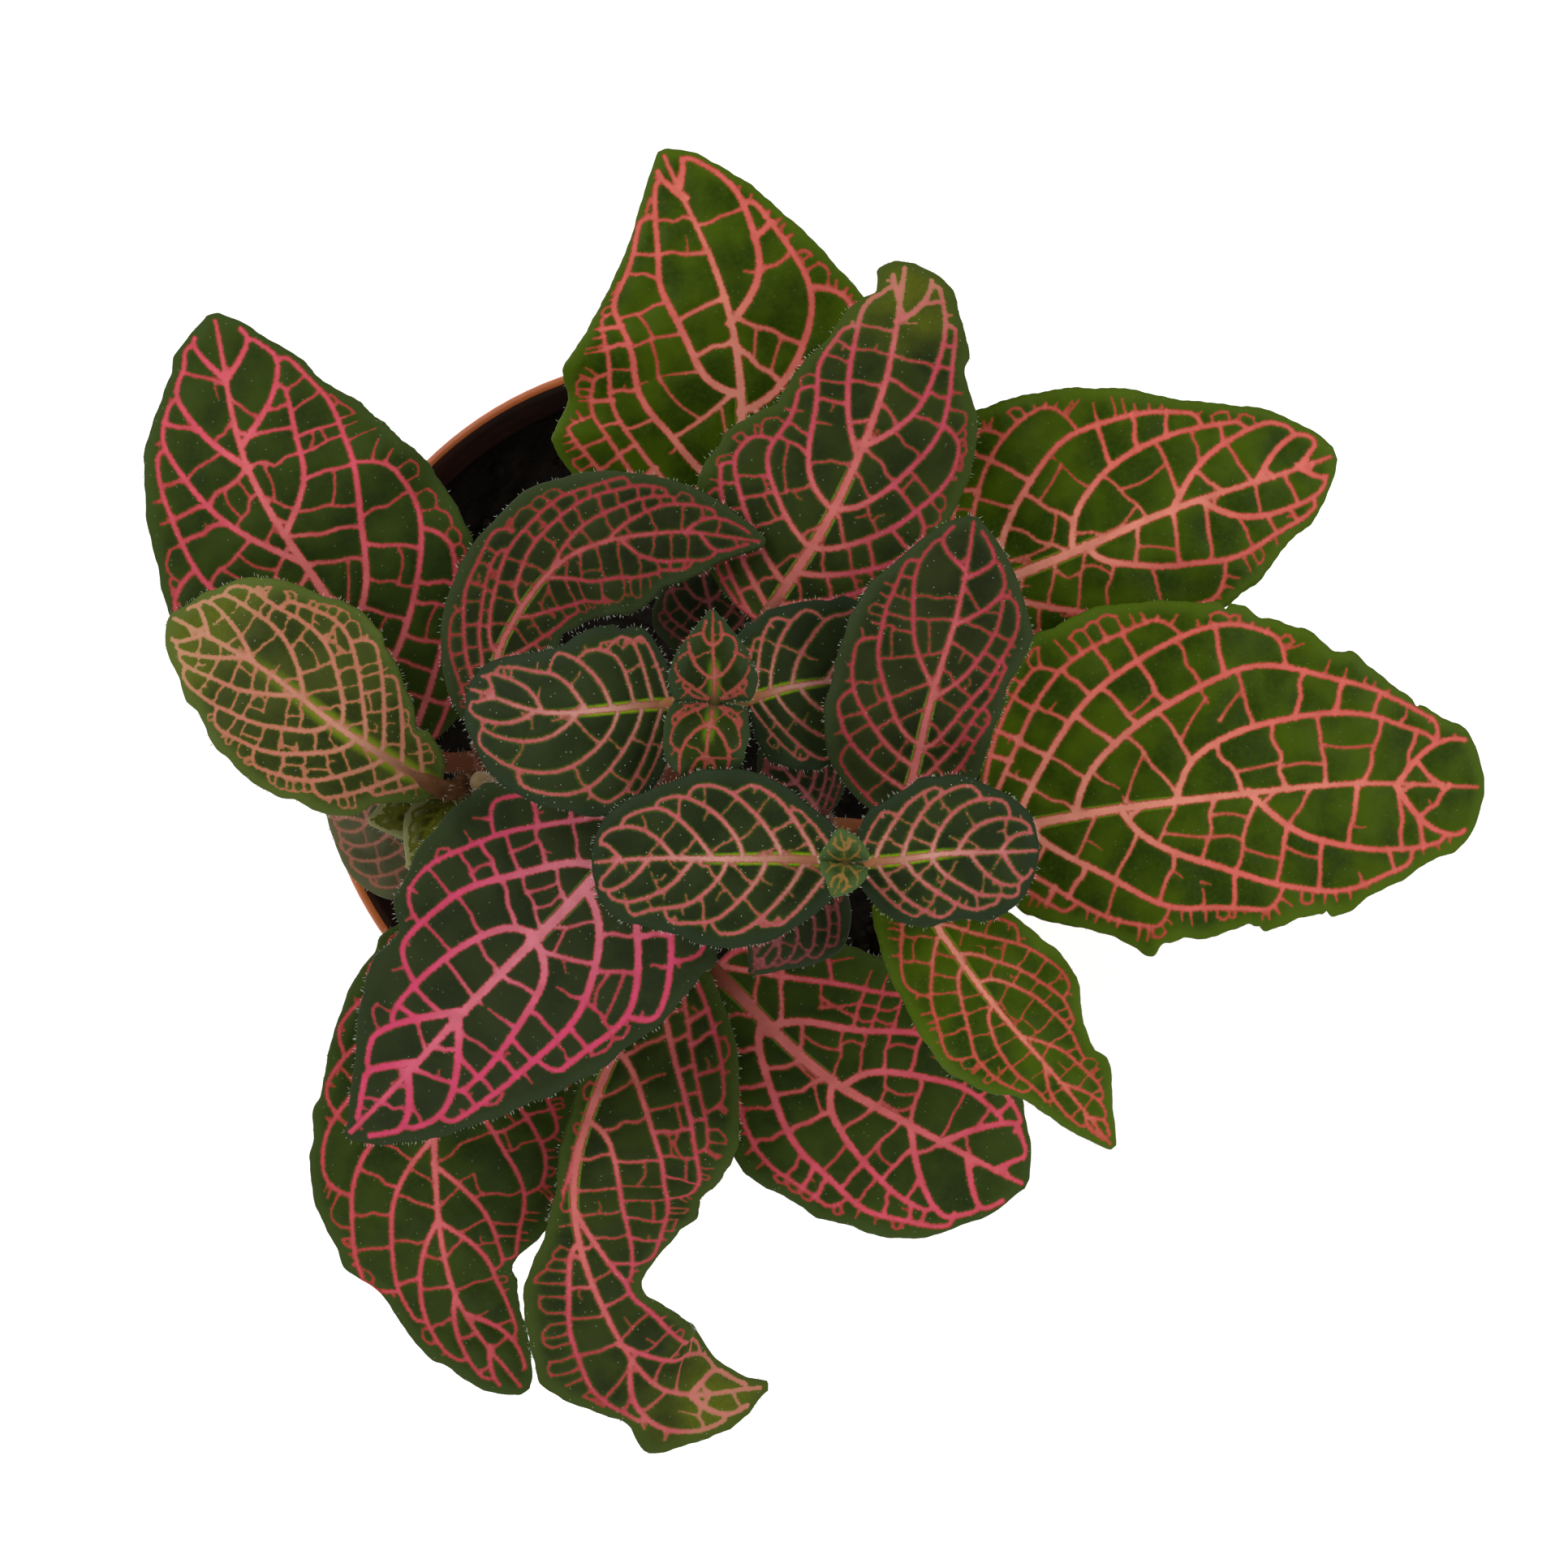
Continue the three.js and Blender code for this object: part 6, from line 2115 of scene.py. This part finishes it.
def finish_with(piece: bpy.types.Object, kind: str, **settings: object) -> None:
    """Adds a modifier to a piece and applies it.

    Args:
        piece: The piece.
        kind: The modifier's type.
        settings: Its own settings by name.
    """
    select_only(piece)
    modifier = piece.modifiers.new(kind.lower(), kind)
    for key, value in settings.items():
        setattr(modifier, key, value)
    bpy.ops.object.modifier_apply(modifier=modifier.name)


def roughen(piece: bpy.types.Object, name: str, grain: float, deep: float, **settings: object) -> None:
    """Moves a piece's surface in and out with a cloudy texture.

    Args:
        piece: The piece.
        name: The texture's name.
        grain: Size of its lumps in mm.
        deep: How far it moves the surface in all, in mm.
        settings: More settings of the modifier.
    """
    cloud = bpy.data.textures.new(name, "CLOUDS")
    cloud.noise_scale = grain * MM
    finish_with(piece, "DISPLACE", texture=cloud, strength=deep * MM, mid_level=0.5, **settings)


def soften(piece: bpy.types.Object, degrees: float) -> None:
    """Shades a piece smooth across edges flatter than an angle."""
    select_only(piece)
    bpy.ops.object.shade_smooth_by_angle(angle=math.radians(degrees))


@dataclass
class NurseryPot:
    """The thin moulded pot: tapered wall, rim band, floor and drain holes, in mm."""

    height: float = 80
    rim_radius: float = 45
    rim_width: float = 1.8
    band_height: float = 9
    band_step: float = 1.1
    base_radius: float = 31
    wall: float = 1.3
    floor: float = 1.6
    edge_round: float = 0.7
    drain_holes: int = 6
    drain_radius: float = 3.5
    drain_circle: float = 20
    sides: int = 128
    groove: tuple = (9, 9.6)
    groove_depth: float = 0.35
    bevel: float = 0.25
    sharp_angle: float = 40

    def outer_radius(self, height: float) -> float:
        """Outer radius of the wall below the rim band."""
        share = height / (self.height - self.band_height)
        return self.base_radius + (self.rim_radius - self.band_step - self.base_radius) * share

    def build(self, wardrobe: Wardrobe) -> None:
        """Makes the pot in place of its node.

        Args:
            wardrobe: The finishes.
        """
        band = self.height - self.band_height
        top = self.rim_radius - self.band_step
        inner = self.rim_radius - self.rim_width
        edge = self.edge_round
        profile = [
            (0, self.base_radius - edge),
            (edge * 0.4, self.base_radius - edge * 0.2),
            (edge * 1.4, self.base_radius + edge * 0.4),
        ]
        for height in (8, *self.groove, 30, 50, band - 3, band - 0.4):
            dent = self.groove_depth if height in self.groove else 0
            profile.append((height, self.outer_radius(height) - dent))
        profile += [
            (band, top + 0.2),
            (band + 0.15, self.rim_radius - edge * 0.5),
            (band + edge, self.rim_radius),
            (self.height - edge, self.rim_radius),
            (self.height - edge * 0.25, self.rim_radius - edge * 0.3),
            (self.height, self.rim_radius - 0.6),
            (self.height - edge * 0.15, self.rim_radius - 1.0),
            (self.height - edge * 0.6, inner + edge * 0.3),
            (self.height - edge, inner),
            (band, self.outer_radius(band) - self.wall),
            (self.floor + edge, self.outer_radius(self.floor) - self.wall),
            (self.floor, self.outer_radius(self.floor) - self.wall - edge),
        ]
        piece = drawn_up("nursery_pot", self.sides, [(0, 0, z, radius) for z, radius in profile])
        drill = self.drill()
        finish_with(piece, "BOOLEAN", object=drill, operation="DIFFERENCE", solver="EXACT")
        bpy.data.objects.remove(drill, do_unlink=True)
        edges = {"limit_method": "ANGLE", "angle_limit": math.radians(self.sharp_angle)}
        finish_with(piece, "BEVEL", width=self.bevel * MM, segments=2, **edges)
        soften(piece, self.sharp_angle)
        # Inside the wall and the rim's inner lip, above the floor, the pot wears its second material, which
        # is painted shade
        wear(piece, wardrobe.pot, wardrobe.pot_inside_painted_shade)
        for face in piece.data.polygons:
            away = math.hypot(face.center.x, face.center.y) / MM
            height = face.center.z / MM
            wall = self.outer_radius(min(height, band)) - self.wall / 2
            if height > self.floor and away < (wall if height < band else self.rim_radius - 1.0):
                face.material_index = 1
        settle(piece, "pot", "pot")

    def drill(self) -> bpy.types.Object:
        """Makes the upright bars that cut the drain holes.

        Returns:
            The bars, as one body.
        """
        select_only()
        for index in range(self.drain_holes):
            angle = 2 * math.pi * index / self.drain_holes
            x, y = self.drain_circle * math.cos(angle), self.drain_circle * math.sin(angle)
            bpy.ops.mesh.primitive_cylinder_add(
                vertices=32, radius=self.drain_radius * MM, depth=self.floor * 4 * MM,
                location=(x * MM, y * MM, 0),
            )
            if index == 0:
                drill = bpy.context.object
                bpy.ops.object.transform_apply(location=True, rotation=True, scale=True)
                bpy.ops.object.mode_set(mode="EDIT")
        bpy.ops.object.mode_set(mode="OBJECT")
        return drill


@dataclass
class Peat:
    """The damp peat in the pot, its crumbs and the pale grit in it, in mm."""

    floor: float = 1.9
    top: float = SOIL_TOP
    edge_drop: float = 1.2
    rings: int = 26
    sides: int = 110
    clearance: float = 0.1
    crumbs: int = 420
    grains: int = 30
    seed: int = 7

    def build(self, pot: NurseryPot, wardrobe: Wardrobe) -> None:
        """Makes the peat in place of its node, with crumbs and grit on it.

        Args:
            pot: The pot that holds it.
            wardrobe: The finishes.
        """
        clear = pot.wall + self.clearance
        bottom = pot.outer_radius(self.floor) - clear - 0.6
        height = self.top - self.edge_drop
        edge = pot.outer_radius(height) - clear
        middle = (self.floor + height) / 2
        profile = [(self.floor, bottom), (middle, pot.outer_radius(middle) - clear), (height, edge)]
        for index in range(1, self.rings):
            share = 1 - index / self.rings
            profile.append((self.top - self.edge_drop * share**4, edge * share))
        piece = drawn_up("damp_peat", self.sides, [(0, 0, z, radius) for z, radius in profile])
        group = piece.vertex_groups.new(name="surface")
        high = [v.index for v in piece.data.vertices if v.co.z > (height + 0.01) * MM]
        group.add(high, 1.0, "REPLACE")
        finish_with(piece, "SUBSURF", subdivision_type="SIMPLE", levels=2, render_levels=2)
        for title, grain, deep in (("lumps", 9.0, 1.3), ("clods", 2.6, 1.1), ("crumbs", 0.9, 0.6)):
            roughen(piece, f"peat_{title}", grain, deep, vertex_group="surface")
        soften(piece, 60)
        wear(piece, wardrobe.soil)
        settle(piece, "soil", "soil")
        rng = np.random.default_rng(self.seed)
        self.scatter(piece, "peat_crumbs", wardrobe.soil, self.crumbs, (0.35, 1.15), edge - 1.5, rng)
        self.scatter(piece, "pale_grit", wardrobe.grit, self.grains, (0.4, 1.0), edge - 2.5, rng)

    def scatter(
        self, ground: bpy.types.Object, name: str, material: bpy.types.Material, count: int,
        sizes: tuple[float, float], reach: float, rng: np.random.Generator,
    ) -> None:
        """Sets uneven grains into the peat's surface.

        Args:
            ground: The peat.
            name: Name of the new piece.
            material: What the grains wear.
            count: How many there are.
            sizes: Least and greatest radius.
            reach: How far from the middle they lie.
            rng: The random draws.
        """
        select_only()
        bpy.ops.mesh.primitive_ico_sphere_add(subdivisions=2, radius=1, location=(0, 0, 0))
        pattern = bpy.context.object
        corners = np.array([v.co for v in pattern.data.vertices])
        faces = np.array([list(p.vertices) for p in pattern.data.polygons])
        bpy.data.objects.remove(pattern, do_unlink=True)
        sheets = MeshSheets()
        for _ in range(count):
            away, angle = reach * math.sqrt(rng.random()), rng.uniform(0, 2 * math.pi)
            x, y = away * math.cos(angle), away * math.sin(angle)
            hit, spot, _, _ = ground.ray_cast(Vector((x * MM, y * MM, 0.2)), Vector((0, 0, -1)))
            if not hit:
                continue
            radius = rng.uniform(*sizes)
            stretch = rng.uniform(0.6, 1.1, 3)
            spin, _ = np.linalg.qr(rng.normal(0, 1, (3, 3)))
            if np.linalg.det(spin) < 0:
                spin[:, 0] *= -1
            bumpy = corners * (1 + rng.normal(0, 0.09, (len(corners), 1)))
            place = np.array([x, y, spot.z / MM + radius * 0.2])
            sheets.add((bumpy * stretch * radius) @ spin + place, faces)
        settle(sheets.build(name, [material]), "soil")


@dataclass
class Stem:
    """A fleshy stem from its root part up to its tip, thicker where leaves stand, in mm."""

    plan: StemPlan
    seed: int
    sides: int = 16
    ring_step: float = 1.1
    bark_grain: float = 1.6
    bark_relief: float = 0.16
    hair_density: float = 16.0
    hair_radius: float = 0.03

    def build(self, wardrobe: Wardrobe) -> None:
        """Makes the stem in place of its node.

        Args:
            wardrobe: The finishes.
        """
        plan = self.plan
        x, y, ground = plan.path[0]
        rings = [(x, y, SOIL_TOP - ROOT_DEPTH, plan.foot * 0.9), (x, y, SOIL_TOP - 3.0, plan.foot)]
        top = plan.path[-1][2]
        steps = int((top - ground) / self.ring_step)
        for index in range(steps + 1):
            height = ground + (top - ground) * index / steps
            centre, _ = stem_at(plan, height)
            rings.append((*(float(c) for c in centre), stem_radius(plan, height)))
        x, y, height, radius = rings.pop()
        rings += [(x, y, height, radius * 0.85), (x, y, height + 0.3, radius * 0.5)]
        piece = drawn_up(f"{plan.name}_body", self.sides, rings)
        finish_with(piece, "SUBSURF", levels=1, render_levels=1)
        roughen(piece, f"{plan.name}_bark", self.bark_grain, self.bark_relief)
        soften(piece, 60)
        wear(piece, wardrobe.stem)
        self.fuzz(piece, wardrobe)
        settle(piece, "stem", plan.name)

    def fuzz(self, piece: bpy.types.Object, wardrobe: Wardrobe) -> None:
        """Stands fine pale hairs on the stem and joins them to it.

        Args:
            piece: The stem.
            wardrobe: The finishes.
        """
        plan, rng = self.plan, np.random.default_rng(self.seed)
        bottom, top = plan.path[0][2], plan.path[-1][2]
        count = int((top - bottom) * self.hair_density)
        roots, ways = [], []
        for height in rng.uniform(bottom + 1, top, count):
            centre, heading = stem_at(plan, height)
            angle = rng.uniform(0, 2 * math.pi)
            way = np.array([math.cos(angle), math.sin(angle), 0.0])
            roots.append(centre + way * stem_radius(plan, height) * 0.97)
            ways.append(way + rng.normal(0, 0.3, 3))
        lengths = rng.uniform(0.35, 0.8, count)
        sheets = MeshSheets()
        sheets.add(*hairs(np.array(roots), np.array(ways), lengths, self.hair_radius))
        fluff = sheets.build(f"{plan.name}_fluff", [wardrobe.hair])
        select_only(fluff, piece)
        bpy.ops.object.join()


@dataclass
class Studio:
    """The pale floor, the soft lights and the camera straight above, in metres."""

    floor_size: float = 6.0
    floor_grey: float = 0.94
    floor_glow: float = 0.2
    camera_place: tuple = (0.0122, -0.0074, 0.780)
    lens: float = 131.6
    light_size: float = 1.1
    light_aim: tuple = (0, 0, 0.09)
    room_light: float = 0.38

    def build(self) -> None:
        """Sets it all up."""
        select_only()
        bpy.ops.mesh.primitive_plane_add(size=self.floor_size)
        floor = bpy.context.object
        floor.name = "pale_floor"
        material = bpy.data.materials.new("pale_floor_paint")
        material.use_nodes = True
        surface = material.node_tree.nodes["Principled BSDF"].inputs
        surface["Base Color"].default_value = (*[self.floor_grey] * 3, 1)
        surface["Emission Color"].default_value = (1, 1, 1, 1)
        surface["Emission Strength"].default_value = self.floor_glow
        surface["Roughness"].default_value = 0.9
        wear(floor, material)
        self.light("soft_key", (-1.15, 0.75, 1.0), 22.0)
        self.light("soft_fill", (1.25, 0.35, 0.95), 14.0)
        self.light("soft_front", (0.1, -1.35, 0.9), 14.0)
        world = bpy.data.worlds.new("plain_white_room")
        world.use_nodes = True
        background = world.node_tree.nodes["Background"].inputs
        background["Color"].default_value = (1, 1, 1, 1)
        background["Strength"].default_value = self.room_light
        camera = bpy.data.cameras.new("camera_above")
        camera.lens = self.lens
        camera.sensor_width = 36
        camera.clip_start = 0.01
        scene = bpy.context.scene
        scene.world = world
        scene.camera = self.hang("camera_above", camera, self.camera_place)
        scene.view_settings.view_transform = "Standard"

    def hang(self, name: str, data: bpy.types.ID, place: tuple) -> bpy.types.Object:
        """Hangs a light or a camera in its place.

        Args:
            name: Its name.
            data: The light or the camera.
            place: Where it hangs.

        Returns:
            The new object.
        """
        holder = bpy.data.objects.new(name, data)
        holder.location = place
        bpy.context.scene.collection.objects.link(holder)
        return holder

    def light(self, name: str, place: tuple, power: float) -> None:
        """Adds one soft square light that faces the plant.

        Args:
            name: Its name.
            place: Where it hangs.
            power: Its power in watts.
        """
        lamp = bpy.data.lights.new(name, "AREA")
        lamp.size = self.light_size
        lamp.energy = power
        aim = Vector(self.light_aim) - Vector(place)
        self.hang(name, lamp, place).rotation_euler = aim.to_track_quat("-Z", "Y").to_euler()


def main() -> None:
    """Builds the whole scene in order."""
    logging.basicConfig(level=logging.INFO, format="%(name)s: %(message)s")
    Studio().build()
    wardrobe = Wardrobe()
    pot = NurseryPot()
    pot.build(wardrobe)
    Peat().build(pot, wardrobe)
    for index, plan in enumerate(STEMS.values()):
        Stem(plan, 40 + index).build(wardrobe)
    for index, plan in enumerate(LEAVES):
        Leaf(plan, 100 + index).build(wardrobe)


if __name__ == "__main__":
    main()
